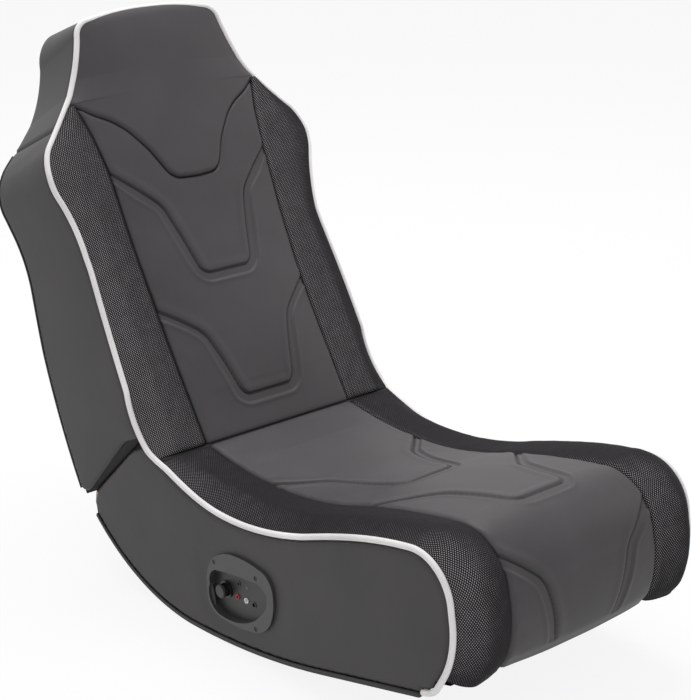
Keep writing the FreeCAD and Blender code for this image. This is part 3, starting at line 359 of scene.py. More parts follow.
def channel_field(x, v, upper, lower, up):
    """Depth of one band, and the painted shade along its groove, at many points; up is +1 where its upper
    panel lies at greater v.
    """
    x = np.abs(x)
    upper, lower = rounded(upper, 14), rounded(lower, 14)
    over_upper = up * (v - level_over(upper, x)) > 0
    under_lower = up * (v - level_over(lower, x)) < 0
    to_upper = line_distance(x, v, upper) * np.where(over_upper, -1, 1)
    to_lower = line_distance(x, v, lower) * np.where(under_lower, -1, 1)
    band = steady((to_upper + 1.6) / 2.4) * steady((to_lower + 2.2) / 4.4)
    groove = np.exp(-((to_upper - 0.2) / 1.3) ** 2)
    puff = np.exp(-((to_upper + 7) / 6) ** 2) * (to_upper < 0)
    ridge = np.exp(-((to_lower + 3.0) / 3.0) ** 2) * (to_lower < 1)
    relief = -CHANNEL_DEPTH * band - CHANNEL_GROOVE * groove + 0.9 * puff + 0.8 * ridge
    # The second row is painted shade: darkness along the groove's upper edge, for the leather's colour.
    return np.stack([relief, np.exp(-((to_upper - 0.2) / 0.9) ** 2)])


def press(height, shade, x, v, channels, up, fade=1.0):
    """Press bands into a pad's height, and keep the painted shade along their grooves."""
    for upper, lower in channels:
        relief, dark = channel_field(x, v, upper, lower, up)
        height += relief * fade
        np.maximum(shade, dark * fade, out=shade)


# Mesh building

def grid_faces(index, around=False):
    """Four-sided faces over a grid of point numbers, joined up where its rows go around."""
    rows, cols = index.shape
    turns = [(i, (i + 1) % rows, j, (j + 1) % cols) for i in range(rows - (not around))
             for j in range(cols - (not around))]
    return [(int(index[i, j]), int(index[i, k]), int(index[m, k]), int(index[m, j])) for i, m, j, k in turns]


def grid_rim(index):
    """The point numbers round a grid."""
    rim = list(index[0, :-1]) + list(index[:-1, -1]) + list(index[-1, :0:-1]) + list(index[:0:-1, 0])
    return [int(i) for i in rim]


def uv_of(u, v):
    """Texture places in metres from millimetres."""
    return np.stack([u * MM, v * MM], -1)


def make_object(name, points, faces, uv=None):
    """A smooth mesh object from world points."""
    mesh = bpy.data.meshes.new(name)
    mesh.from_pydata([tuple(p) for p in points], [], faces)
    mesh.validate()
    mesh.polygons.foreach_set("use_smooth", [True] * len(mesh.polygons))
    if uv is not None:
        layer = mesh.uv_layers.new(name="surface")
        loops = np.zeros(len(mesh.loops), np.int32)
        mesh.loops.foreach_get("vertex_index", loops)
        layer.data.foreach_set("uv", np.asarray(uv, np.float32)[loops].ravel())
    obj = bpy.data.objects.new(name, mesh)
    bpy.context.scene.collection.objects.link(obj)
    return obj


def loft(name, rings, uv_rings, flip=False):
    """A closed form through rings of points, with its ends filled."""
    rings = np.asarray(rings)
    rows, cols = rings.shape[:2]
    index = np.arange(rows * cols).reshape(rows, cols)
    pairs = [(i, j, (j + 1) % cols) for j in range(cols) for i in range(rows - 1)]
    faces = [tuple(int(m) for m in (index[i, j], index[i, k], index[i + 1, k], index[i + 1, j]))
             for i, j, k in pairs]
    faces += [tuple(int(i) for i in index[0][::-1]), tuple(int(i) for i in index[-1])]
    if flip:
        faces = [f[::-1] for f in faces]
    return make_object(name, rings.reshape(-1, 3), faces, np.asarray(uv_rings).reshape(-1, 2))


def wrapped(name, top, under, uv, uv_under, flip=False):
    """A closed form whose rows run over the top and back under it."""
    return loft(name, np.concatenate([top, under], 1), np.concatenate([uv, uv_under], 1), flip)


def grid_pad(name, top, floor, uv):
    """A closed pad: a grid of points on top, straight sides, and a flat underside."""
    rows, cols = top.shape[:2]
    index = np.arange(rows * cols).reshape(rows, cols)
    faces = grid_faces(index)
    rim = grid_rim(index)
    flat_top, flat_floor = top.reshape(-1, 3), floor.reshape(-1, 3)
    start = rows * cols
    points = np.concatenate([flat_top, flat_floor[rim]])
    count = len(rim)
    for k in range(count):
        m = (k + 1) % count
        faces.append((rim[m], rim[k], start + k, start + m))
    faces.append(tuple(range(start, start + count)))
    uv_all = np.concatenate([uv.reshape(-1, 2), uv.reshape(-1, 2)[rim]])
    return make_object(name, points, faces, uv_all)


def paint_groove_shade(obj, shade):
    """Store each point's painted groove shade, which darkens the leather's colour."""
    layer = obj.data.attributes.new("groove", "FLOAT", "POINT")
    values = np.zeros(len(obj.data.vertices), np.float32)
    values[:shade.size] = np.asarray(shade, np.float32).ravel()
    layer.data.foreach_set("value", values)


def ripple(points, size, seed):
    """Smooth noise at world points, from -1 to 1."""
    shift = Vector((seed * 3.1, seed * 1.7, seed * 2.3))
    flat = points.reshape(-1, 3) / size
    values = [noise.noise(Vector(p) + shift) for p in flat]
    return np.array(values).reshape(points.shape[:-1])


# Materials

def new_material(name):
    """A material with a plain shader, and its nodes and links."""
    material = bpy.data.materials.new(name)
    material.use_nodes = True
    tree = material.node_tree
    return material, tree, tree.nodes["Principled BSDF"]


def add(tree, kind, **values):
    """A shader node with its settings."""
    node = tree.nodes.new(kind)
    for key, value in values.items():
        setattr(node, key, value)
    return node


def maths(tree, operation, *values):
    """A math node over sockets or numbers, as its output."""
    node = add(tree, "ShaderNodeMath", operation=operation)
    for socket, value in zip(node.inputs, values):
        if isinstance(value, (int, float)):
            socket.default_value = value
        else:
            tree.links.new(value, socket)
    return node.outputs[0]


def ramp(tree, value, stops):
    """A colour ramp over a socket."""
    node = tree.nodes.new("ShaderNodeValToRGB")
    while len(node.color_ramp.elements) < len(stops):
        node.color_ramp.elements.new(0.5)
    for element, (at, colour) in zip(node.color_ramp.elements, stops):
        element.position = at
        element.color = (*colour, 1)
    tree.links.new(value, node.inputs[0])
    return node.outputs[0]


def wire(tree, node, **sources):
    """Feed a node's inputs, by name, from sockets or with fixed values."""
    for name, source in sources.items():
        socket = node.inputs[name.replace("_", " ")]
        if isinstance(source, bpy.types.NodeSocket):
            tree.links.new(source, socket)
        else:
            socket.default_value = source
    return node


def bump(tree, height, strength, distance):
    """A bump node over a height socket."""
    node = add(tree, "ShaderNodeBump")
    return wire(tree, node, Strength=strength, Distance=distance, Height=height).outputs[0]


def object_place(tree):
    """Where a point lies on its own piece."""
    return add(tree, "ShaderNodeTexCoord").outputs["Object"]


def noise_over(tree, place, scale, detail, roughness=0.5):
    """A noise texture's value over a place."""
    node = add(tree, "ShaderNodeTexNoise")
    return wire(tree, node, Vector=place, Scale=scale, Detail=detail, Roughness=roughness).outputs["Fac"]


def stretched(tree, place, scale):
    """A place with its axes scaled."""
    return wire(tree, add(tree, "ShaderNodeMapping"), Vector=place, Scale=scale).outputs[0]


def shades(colour, low, high):
    """A darker and a lighter shade of a colour."""
    return tuple(c * low for c in colour), tuple(min(c * high, 1) for c in colour)


def leather(name, colour, roughness, grain=700.0, bump_size=0.00012):
    """Soft leatherette with a fine pebble grain and uneven gloss, and painted shade along its pressed
    grooves.
    """
    material, tree, shader = new_material(name)
    place = object_place(tree)
    cells = add(tree, "ShaderNodeTexVoronoi", feature="DISTANCE_TO_EDGE")
    wire(tree, cells, Vector=place, Scale=grain)
    fine = noise_over(tree, place, grain * 2.2, 3.0, 0.6)
    broad = noise_over(tree, place, 9.0, 4.0, 0.55)
    pebble = maths(tree, "SMOOTH_MIN", cells.outputs["Distance"], 0.28, 0.2)
    height = maths(tree, "MULTIPLY_ADD", fine, 0.35, pebble)
    dark, light = shades(colour, 0.86, 1.12)
    # Painted shade: the groove attribute mixes the colour towards near black along the pressed grooves.
    groove = add(tree, "ShaderNodeAttribute", attribute_name="groove").outputs["Fac"]
    painted_groove_shade_mix = add(tree, "ShaderNodeMix", data_type="RGBA")
    wire(tree, painted_groove_shade_mix, Factor=maths(tree, "MULTIPLY", groove, 0.8),
         A=ramp(tree, broad, [(0.3, dark), (0.7, light)]), B=(0.008, 0.007, 0.008, 1))
    gloss = maths(tree, "MULTIPLY_ADD", broad, 0.10, roughness - 0.05)
    gloss = maths(tree, "MULTIPLY_ADD", fine, 0.06, gloss)
    wire(tree, shader, Base_Color=painted_groove_shade_mix.outputs["Result"], Roughness=gloss, Specular_IOR_Level=0.34,
         Normal=bump(tree, height, 0.5, bump_size))
    return material


def mesh_fabric(name):
    """Black spacer mesh: staggered rows of pale knots over dark holes, with painted shade where it turns away
    from the camera.
    """
    material, tree, shader = new_material(name)
    split = wire(tree, add(tree, "ShaderNodeSeparateXYZ"),
                 Vector=add(tree, "ShaderNodeUVMap", uv_map="surface").outputs[0])
    across = maths(tree, "MULTIPLY", split.outputs[0], math.tau / MESH_ACROSS)
    along = maths(tree, "MULTIPLY", split.outputs[1], math.tau / MESH_ALONG)
    knots = maths(tree, "MULTIPLY", maths(tree, "COSINE", across), maths(tree, "COSINE", along))
    lifted = maths(tree, "MULTIPLY_ADD", knots, 0.5, 0.5)
    uneven = noise_over(tree, object_place(tree), 60.0, 3.0)
    shade = maths(tree, "MULTIPLY_ADD", uneven, 0.12, maths(tree, "SUBTRACT", lifted, 0.06))
    # Painted shade: the knots darken as the fabric turns away from the camera, standing in for how light
    # falls on it.
    facing = wire(tree, add(tree, "ShaderNodeLayerWeight"), Blend=0.5).outputs["Facing"]
    fade = maths(tree, "SUBTRACT", 1.0, maths(tree, "MULTIPLY", facing, 0.55))
    shade = maths(tree, "MULTIPLY", shade, fade)
    colour = ramp(tree, shade, [(0.0, (0.008, 0.007, 0.008)), (0.46, (0.017, 0.015, 0.017)),
                                (0.64, (0.030, 0.027, 0.030)), (0.84, (0.40, 0.39, 0.40))])
    wire(tree, shader, Base_Color=colour, Roughness=0.8, Specular_IOR_Level=0.12,
         Normal=bump(tree, lifted, 0.7, 0.0006))
    return material


def plastic(name, colour, roughness, grain=0.0):
    """Moulded plastic with a faint texture."""
    material, tree, shader = new_material(name)
    place = object_place(tree)
    broad = noise_over(tree, place, 30.0, 3.0)
    dark, light = shades(colour, 0.9, 1.1)
    wire(tree, shader, Base_Color=ramp(tree, broad, [(0.3, dark), (0.7, light)]),
         Roughness=maths(tree, "MULTIPLY_ADD", broad, 0.08, roughness - 0.04))
    if grain:
        wire(tree, shader, Normal=bump(tree, noise_over(tree, place, 1400.0, 2.0), 0.5, grain))
    return material


def metal(name, colour, roughness):
    """Plated steel with light streaks."""
    material, tree, shader = new_material(name)
    streak = noise_over(tree, stretched(tree, object_place(tree), (0.1, 1, 1)), 220.0, 3.0)
    dark = tuple(c * 0.85 for c in colour)
    wire(tree, shader, Base_Color=ramp(tree, streak, [(0.3, dark), (0.7, colour)]),
         Roughness=maths(tree, "MULTIPLY_ADD", streak, 0.15, roughness), Metallic=1.0)
    return material


def plywood(name):
    """Birch plywood with a soft grain."""
    material, tree, shader = new_material(name)
    wave = noise_over(tree, stretched(tree, object_place(tree), (1, 0.12, 1)), 90.0, 5.0, 0.6)
    colour = ramp(tree, wave, [(0.3, (0.42, 0.28, 0.15)), (0.55, (0.60, 0.43, 0.26)),
                               (0.75, (0.70, 0.53, 0.34))])
    wire(tree, shader, Base_Color=colour, Roughness=0.6, Normal=bump(tree, wave, 0.3, 0.0003))
    return material


def cloth(name, colour, pitch):
    """Plain woven cloth."""
    material, tree, shader = new_material(name)
    place = object_place(tree)
    split = wire(tree, add(tree, "ShaderNodeSeparateXYZ"), Vector=place)
    warp = maths(tree, "SINE", maths(tree, "MULTIPLY", split.outputs[0], math.tau / pitch))
    weft = maths(tree, "SINE", maths(tree, "MULTIPLY", split.outputs[2], math.tau / pitch))
    weave = maths(tree, "MULTIPLY_ADD", maths(tree, "MULTIPLY", warp, weft), 0.5, 0.5)
    uneven = noise_over(tree, place, 25.0, 4.0)
    shade = maths(tree, "MULTIPLY_ADD", uneven, 0.4, maths(tree, "MULTIPLY", weave, 0.6))
    dark, light = shades(colour, 0.7, 1.3)
    wire(tree, shader, Base_Color=ramp(tree, shade, [(0.2, dark), (0.8, light)]), Roughness=0.85,
         Normal=bump(tree, weave, 0.4, 0.0003))
    return material


MESH_ACROSS = 0.0031
MESH_ALONG = 0.0043
DARK_PLASTIC = plastic("plain_black", (0.02, 0.02, 0.02), 0.5)
SLOT_MATERIALS = {
    "pad_grey": leather("pad_leather", (0.051, 0.047, 0.050), 0.50, grain=650),
    "mesh_black": mesh_fabric("bolster_mesh"),
    "cover_grey": leather("side_leather", (0.046, 0.0425, 0.0455), 0.48, grain=600),
    "piping_white": leather("piping_leather", (0.84, 0.825, 0.825), 0.55, grain=900, bump_size=0.00006),
    "rear_black": cloth("rear_cloth", (0.022, 0.022, 0.024), 0.0016),
    "runner_black": plastic("runner_rubber", (0.018, 0.018, 0.018), 0.6, grain=0.0002),
    "bezel_grey": plastic("bezel_plastic", (0.044, 0.042, 0.045), 0.36, grain=0.00006),
    "plate_black": plastic("plate_plastic", (0.020, 0.020, 0.021), 0.42, grain=0.00006),
    "knob_black": plastic("knob_plastic", (0.010, 0.010, 0.011), 0.28),
    "socket_red": plastic("red_plastic", (0.36, 0.035, 0.05), 0.35),
    "socket_white": plastic("white_plastic", (0.72, 0.76, 0.70), 0.3),
    "socket_black": plastic("black_plastic", (0.012, 0.012, 0.013), 0.3),
    "led_clear": plastic("led_plastic", (0.16, 0.16, 0.165), 0.12),
    "circuit_green": plastic("circuit", (0.02, 0.12, 0.05), 0.4),
    # The screws' black is darkened further as painted shade of the holes they sit in.
    "screw_black": plastic("screw_plastic_and_hole_shade", (0.006, 0.006, 0.006), 0.5),
    "housing_black": DARK_PLASTIC,
    "cone_black": DARK_PLASTIC,
    "steel_plated": metal("plated", (0.60, 0.60, 0.58), 0.28),
    "plywood": plywood("birch"),
}
welt_leather = leather("welt_leather", (0.02, 0.02, 0.021), 0.42, grain=900, bump_size=0.00006)
# A near-black copy of the rear cloth: its extra darkness is painted shade for the crease, slot and openings
# it lines.
black_cloth_painted_shade = cloth("black_cloth_painted_shade", (0.004, 0.004, 0.0045), 0.0016)
for part in frame["record"]["subparts"]:
    node = nodes[part["node"]]
    node.data.materials.clear()
    node.data.materials.append(SLOT_MATERIALS[part["material_slot"]])


def dress(obj, slot, body=None, material=None):
    """Give a piece the material of its slot, or a given one, and let it ride on a body if one is named."""
    obj.data.materials.clear()
    obj.data.materials.append(material or SLOT_MATERIALS[slot])
    if body:
        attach(obj, body)
    return obj


# Pads
SEAM_GAP = 0.4
PIPING_BITE = 1.2
CORD_SINK = 0.8
LEDGE_DROP = 3.4
PAD_ROLL = 8.0
BOLSTER_ROLL = 7.0
HEAD_ROLL = 16.0
HEAD_LIP = 6.5
HEAD_HALF = 158.5
HEAD_CORNER_T = 501
END_RUN = 26.0
FRONT_FADE = 40.0
SEAM_PUCKER = 22.0
FRAME_SIDE = 189.8
UV_APART = 0.2
PAD_CROWDING, HEAD_CROWDING = 0.92, 0.94
CREASE_START = 0.3
HEAD_GAP = 0.6
HEAD_SEAM_DEPTH, HEAD_SEAM_WIDTH = 3.6, 2.6
RIPPLE_SIZE, PUCKER_SIZE = 0.05, 0.018


def pad_profile(x, half, crown):
    """Height across a pad between its seams: a tight roll, then a low crown."""
    roll = quarter_round(half - np.abs(x), PAD_ROLL)
    dome = 1 - np.clip(np.abs(x) / half, 0, 1) ** 2.4
    return -SEAM_DEPTH + (SEAM_DEPTH + 0.8) * roll + crown * dome


def end_tuck(s):
    """How far a seat pad is drawn in towards its lower end."""
    return SEAM_DEPTH * (1 - steady((path_end - s) / END_RUN))


def puckers(points, x, half, seed, depth):
    """Broad ripples, and small ones along the seams."""
    to_seam = half - np.abs(x)
    small = depth * np.exp(-to_seam / SEAM_PUCKER) * ripple(points, PUCKER_SIZE, seed + 1)
    return 0.45 * ripple(points, RIPPLE_SIZE, seed) + small * steady(to_seam / 5)


def seat_centre():
    """The seat's centre pad with its pressed bands."""
    half = SEAM_HALF - SEAM_GAP
    xs = spread(165, PAD_CROWDING, half)
    s, x = np.meshgrid(path_s, xs, indexing="ij")
    height = pad_profile(x, half, SEAT_CROWN * crown_share(s)) - crease_sink(s)
    height -= end_tuck(s)
    shade = np.zeros(x.shape)
    over = [[[(px, s_at_y(py)) for px, py in line] for line in pair] for pair in SEAT_CHANNELS]
    press(height, shade, x, s, over, -1)
    down = [[[(px, s_at_z(pz)) for px, pz in line] for line in FRONT_CHANNEL]]
    press(height, shade, x, s, down, -1, steady((path_end - s) / FRONT_FADE))
    height += puckers(seat_point(x, s, height), x, half, 1, 0.8)
    top = seat_point(x, s, height)
    edge = np.array([half, half - 30, 0, 30 - half, -half])
    floor_s, floor_x = np.meshgrid(path_s, edge, indexing="ij")
    under = seat_point(floor_x, floor_s, np.full(floor_s.shape, -PAD_DEPTH))
    uv = uv_of(x, s)
    uv_under = uv_of(floor_x, floor_s)
    obj = wrapped("seat_pad_leather", top, under, uv, uv_under)
    # Painted shade along the pressed grooves, kept on the points for the leather's colour.
    paint_groove_shade(obj, np.concatenate([shade, np.zeros(floor_s.shape)], 1))
    dress(obj, "pad_grey", "seat")
    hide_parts("seat_centre_cushion")


def bolster_height(u, seam, ridge, outer, ridge_at=0.56):
    """Height across a bolster from its seam (u 0) over the ridge to the piping (u 1)."""
    rise = seam + (ridge - seam) * np.sin(np.clip(u / ridge_at, 0, 1) * math.pi / 2) ** 1.1
    past = np.clip((u - ridge_at) / (1 - ridge_at), 0, 1)
    fall = outer + (ridge - outer) * np.cos(past * math.pi / 2) ** 0.9
    return np.where(u < ridge_at, rise, fall)


def lengths_across(x, height):
    """The length run across each row of a pad up to each point."""
    steps = np.hypot(np.diff(x, axis=1), np.diff(height, axis=1))
    return np.cumsum(np.concatenate([np.zeros((len(x), 1)), steps], 1), 1)


def mesh_ripple(points, u, seed, fine):
    """Broad and small ripples of stretched mesh, away from its two edges."""
    both = 0.5 * ripple(points, 0.045, seed) + fine * ripple(points, 0.016, seed + 1)
    return both * steady(u * 6) * steady((1 - u) * 6)


def seat_bolster(side, name):
    """A mesh bolster of the seat, over its nose to the front's lower end."""
    inner, beside = SEAM_HALF + SEAM_GAP, PIPING_HALF - PIPING_RADIUS + PIPING_BITE
    ring_s = path_s[::2] if path_s[::2][-1] == path_end else np.append(path_s[::2], path_end)
    u = np.linspace(0, 1, 46)
    s, uu = np.meshgrid(ring_s, u, indexing="ij")
    x = inner + (beside - inner) * uu
    sink = crease_sink(s)
    drop = -np.interp(s, path_s, path_drop)
    ridge = 1.5 - sink + (np.interp(s, path_s, path_rise) - 1.5 + sink * 0.2) * crown_share(s)
    outer = np.minimum(drop + PIPING_RADIUS - CORD_SINK, ridge - 2)
    roll = quarter_round(x - inner, BOLSTER_ROLL)
    seam = -SEAM_DEPTH - sink
    height = bolster_height(uu, seam + (SEAM_DEPTH + 1) * roll, ridge, outer)
    height -= end_tuck(s)
    height = height + mesh_ripple(seat_point(x * side, s, height), uu, 3, 0.5)
    top = seat_point(x * side, s, height)
    edge_s, edge_x_grid = np.meshgrid(ring_s, np.array([beside, beside, inner]), indexing="ij")
    bottom = np.full(len(ring_s), -PAD_DEPTH)
    depth = np.stack([-np.interp(ring_s, path_s, path_drop) - LEDGE_DROP, bottom, bottom], 1)
    under = seat_point(edge_x_grid * side, edge_s, depth)
    uv = uv_of(lengths_across(x, height), s)
    uv_under = uv_of(edge_x_grid, edge_s) + [UV_APART, 0]
    obj = wrapped("seat_mesh_" + name, top, under, uv, uv_under, flip=side < 0)
    dress(obj, "mesh_black", "seat")
    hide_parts("seat_bolster_" + name)


def back_surface(x, t, half):
    """Height of the back's centre surface at many points."""
    seam = smooth(*SEAM_LINE, t)
    centre = smooth(*CENTRE_LINE, t)
    bulge = np.maximum(centre - seam - 1, 1) * crown_share(t)
    return seam + pad_profile(x, half, bulge) - crease_sink(t)


head_line = rounded(HEAD_EDGE, 9)


def head_edge_t(x):
    """Height of the headrest pad's lower edge at a distance from the middle."""
    return level_over(head_line, np.abs(x))


def back_pad(name, x, height, t):
    """A pad of the back with its flat underside."""
    floor = back_point(x, np.full(x.shape, PAD_FLOOR), t)
    return grid_pad(name, back_point(x, height, t), floor, uv_of(x, t))


def back_centre():
    """The back's centre pad, up to the headrest's edge."""
    cols, rows = 170, 300
    u = spread(cols, PAD_CROWDING)
    top_t = np.full(cols, 470.0)
    for _ in range(40):
        half = np.interp(top_t, *SEAM_HALF_LINE) - SEAM_GAP
        top_t = top_t * 0.5 + 0.5 * (head_edge_t(np.abs(u) * half) - HEAD_GAP)
    share = np.linspace(0, 1, rows)
    t = CREASE_START + (top_t[None, :] - CREASE_START) * share[:, None]
    half = np.interp(t, *SEAM_HALF_LINE) - SEAM_GAP
    x = u[None, :] * half
    height = back_surface(x, t, half)
    shade = np.zeros(x.shape)
    press(height, shade, x, t, BACK_CHANNELS, 1)
    to_head = line_distance(np.abs(x), t, head_line)
    height -= HEAD_SEAM_DEPTH * np.exp(-(to_head / HEAD_SEAM_WIDTH) ** 1.3)
    height += puckers(back_point(x, height, t), x, half, 5, 0.7)
    obj = back_pad("back_pad_leather", x, height, t)
    # Painted shade along the pressed grooves, kept on the points for the leather's colour.
    paint_groove_shade(obj, shade)
    dress(obj, "pad_grey", "back")
    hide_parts("back_centre_cushion")


def head_top_t(x):
    """Height of the head's outline inside its piping at a distance from the middle."""
    return level_over(moved_left(outline_above(480), PIPING_RADIUS - CORD_SINK), np.abs(x))


def head_pad():
    """The headrest's smooth pad, from its lower edge to the piping."""
    cols, rows = 190, 130
    xs = spread(cols, HEAD_CROWDING, HEAD_HALF)
    low, high = head_edge_t(xs) + 0.5, head_top_t(xs)
    high = np.maximum(high, low + HEAD_GAP)
    share = steady(np.linspace(0, 1, rows)) * 0.35 + np.linspace(0, 1, rows) * 0.65
    t = low[None, :] + (high - low)[None, :] * share[:, None]
    x = np.broadcast_to(xs[None, :], t.shape)
    half = np.interp(t, *SEAM_HALF_LINE)
    piping = piping_n(t)
    to_edge = line_distance(np.abs(x), t, outline_above(440)) - PIPING_RADIUS + CORD_SINK
    to_head = line_distance(np.abs(x), t, head_line)
    centre = smooth(*CENTRE_LINE, t) + HEAD_RISE
    seam = smooth(*SEAM_LINE, t)
    width = np.where(t < HEAD_CORNER_T, half, np.maximum(edge_x(np.minimum(t, 606)) - 4, 40))
    rim = np.where(t < HEAD_CORNER_T, seam + 1.5, np.maximum(piping + 3.5, seam + 1.5))
    dome = 1 - np.clip(np.abs(x) / width, 0, 1) ** 2.2
    body = rim + (centre - rim) * dome
    edge = piping + PIPING_RADIUS - 1.6
    fall = 1 - quarter_round(to_edge, HEAD_ROLL)
    height = body + (edge - body) * fall
    height = height - (1 - quarter_round(to_head, HEAD_LIP)) * (HEAD_RISE + 3.4)
    height += 0.5 * ripple(back_point(x, height, t), 0.055, 7) * steady(to_edge / 10)
    obj = back_pad("headrest_leather", x, height, t)
    dress(obj, "pad_grey", "back")
    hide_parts("headrest_pad")


def back_bolster(side, name):
    """A mesh bolster of the back, up to the headrest."""
    ts = np.concatenate([[CREASE_START], np.arange(3.5, 497, 3.2), [498.5]])
    u = np.linspace(0, 1, 44)
    t, uu = np.meshgrid(ts, u, indexing="ij")
    piping = piping_n(t)
    inner = np.interp(t, *SEAM_HALF_LINE) + SEAM_GAP
    beside = edge_x(t, piping) - PIPING_RADIUS + PIPING_BITE
    x = inner + (beside - inner) * uu
    sink = crease_sink(t)
    seam = smooth(*SEAM_LINE, t) - sink
    width = beside - inner
    full = np.clip(width / 60.0, 0.15, 1)
    ridge = seam + 1.5 + (BACK_RIDGE - 1.5) * crown_share(t) * full
    outer = np.minimum(piping + PIPING_RADIUS - CORD_SINK, ridge - 1.5)
    roll = quarter_round(x - inner, np.minimum(BOLSTER_ROLL, width * 0.3))
    height = bolster_height(uu, seam - SEAM_DEPTH + (SEAM_DEPTH + 1) * roll, ridge, outer)
    height = height + mesh_ripple(back_point(x * side, height, t), uu, 8, 0.4)
    top = back_point(x * side, height, t)
    ledge = piping_n(ts) - LEDGE_DROP
    out = edge_x(ts, piping_n(ts)) - PIPING_RADIUS + PIPING_BITE
    tuck = np.minimum(out, FRAME_SIDE)
    first = np.interp(ts, *SEAM_HALF_LINE) + SEAM_GAP
    under_x = np.stack([out, tuck, tuck, first], 1)
    bottom = np.full(len(ts), PAD_FLOOR)
    under_n = np.stack([ledge, ledge, bottom, bottom], 1)
    under_t = np.broadcast_to(ts[:, None], under_x.shape)
    under = back_point(under_x * side, under_n, under_t)
    uv = uv_of(lengths_across(x, height), t)
    uv_under = uv_of(under_x, under_t) + [UV_APART, 0]
    obj = wrapped("back_mesh_" + name, top, under, uv, uv_under, flip=side > 0)
    dress(obj, "mesh_black", "back")
    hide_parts("back_bolster_" + name)


# Piping

def tube(name, centres, radius, segments=12):
    """A round cord along points, with flat ends."""
    centres = np.asarray(centres, float)
    heading = np.gradient(centres, axis=0)
    heading /= np.linalg.norm(heading, axis=1)[:, None]
    rings, uvs = [], []
    side = np.cross(heading[0], [0, 0, 1.0])
    side /= np.linalg.norm(side)
    run = run_lengths(centres)
    for k, (centre, ahead) in enumerate(zip(centres, heading)):
        side = side - ahead * (side @ ahead)
        side /= np.linalg.norm(side)
        other = np.cross(ahead, side)
        angles = np.arange(segments) * math.tau / segments
        rings.append(centre + radius * (np.cos(angles)[:, None] * side + np.sin(angles)[:, None] * other))
        uvs.append(np.stack([angles * radius, np.full(segments, run[k])], -1))
    return loft(name, rings, uvs, flip=True)


def whole_piping():
    """The piping from one seat side over the back to the other: one line of points."""
    seat_side = seat_point(np.full(len(path_s), PIPING_HALF), path_s, -path_drop)[::2]
    curl = in_space(PIPING_HALF, *np.array(PIPING_CURL).T)
    near = rounded([tuple(seat_side[-1][1:])] + [tuple(c[1:]) for c in curl], 0.006)
    curl_points = np.stack([np.full(len(near), PIPING_HALF * MM), near[:, 0], near[:, 1]], -1)
    lower = np.concatenate([curl_points[::-1], seat_side[::-1]])
    n = piping_n(front_outline[:, 1])
    spots = at_depth(front_outline[:, :2], rear_outline, n[:, None])
    keep = front_outline[:, 1] > 14
    upper = back_point(spots[keep, 0], n[keep], spots[keep, 1])
    crease_points = back_point(np.array([209.0, 211.0]), np.array([-8.5, -13.0]), np.array([-3.0, 7.0]))
    half = np.concatenate([lower[:-2], crease_points, upper])
    mirrored = half[::-1][1:] * np.array([-1, 1, 1])
    return relaxed(np.concatenate([half, mirrored]), 3)


def make_piping():
    """The whole white cord, bent across the fold."""
    obj = dress(tube("piping", whole_piping(), PIPING_RADIUS * MM), "piping_white")
    start = back_point(np.array(0.0), np.array(0.0), np.array(-16.0))
    end = back_point(np.array(0.0), np.array(0.0), np.array(16.0))
    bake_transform(obj)
    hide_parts("seat_piping_left", "seat_piping_right", "back_piping")


# Side covers: leather pulled over the frames, rolled in at every edge

COVER_OUTER = 210.0
COVER_INNER = 206.0
FRAME_INNER = 190.7
COVER_DROP = 4.6
ROCKER = [(161, -137), (55, -200.4), (-61, -221), (-195, -210.4), (-330, -184)]
ROCKER_FRONT = (-506, -139)
STRIP = 5.0
EAR = [(-31, 24), (-61, 27), (-181, -2.5), (-194, -11)]
RECESS_WALL = 3.0
WRINKLE_REACH = 18.0
EDGE_CALM = 12
COVER_RISE = 2.0
COVER_UNDER = 1.9
CLOTH_ROW = 0.004


def inside(points, loop):
    """Whether plane points lie inside a closed loop."""
    found = np.zeros(len(points), bool)
    for a, b in zip(loop, np.roll(loop, -1, axis=0)):
        crosses = (a[1] > points[:, 1]) != (b[1] > points[:, 1])
        with np.errstate(divide="ignore", invalid="ignore"):
            at = a[0] + (points[:, 1] - a[1]) * (b[0] - a[0]) / (b[1] - a[1])
        found ^= crosses & (points[:, 0] < at)
    return found


def filled(loops, step):
    """Triangles that fill a loop with holes, fine enough to bend: points, faces, and each loop's points."""
    loops = [evenly(closed(loop), step)[:-1] for loop in loops]
    low, high = loops[0].min(0), loops[0].max(0)
    xs, ys = np.arange(low[0], high[0], step), np.arange(low[1], high[1], step * 0.87)
    grid = np.array([(x + (step / 2 if k % 2 else 0), y) for k, y in enumerate(ys) for x in xs])
    grid = grid[inside(grid, loops[0])]
    for hole in loops[1:]:
        grid = grid[~inside(grid, hole)]
    gap = np.min([line_distance(*grid.T, closed(loop)) for loop in loops], axis=0)
    grid = grid[gap > step * 0.6]
    edges, start = [], 0
    for loop in loops:
        count = len(loop)
        edges += [(start + k, start + (k + 1) % count) for k in range(count)]
        start += count
    spots = np.vstack(loops + [grid])
    faces = delaunay_2d_cdt([Vector(p) for p in spots], edges, [], 0, 1e-5)[2]
    middle = np.array([spots[list(f)].mean(0) for f in faces])
    keep = inside(middle, loops[0])
    for hole in loops[1:]:
        keep &= ~inside(middle, hole)
    return spots, [f for f, k in zip(faces, keep) if k], loops


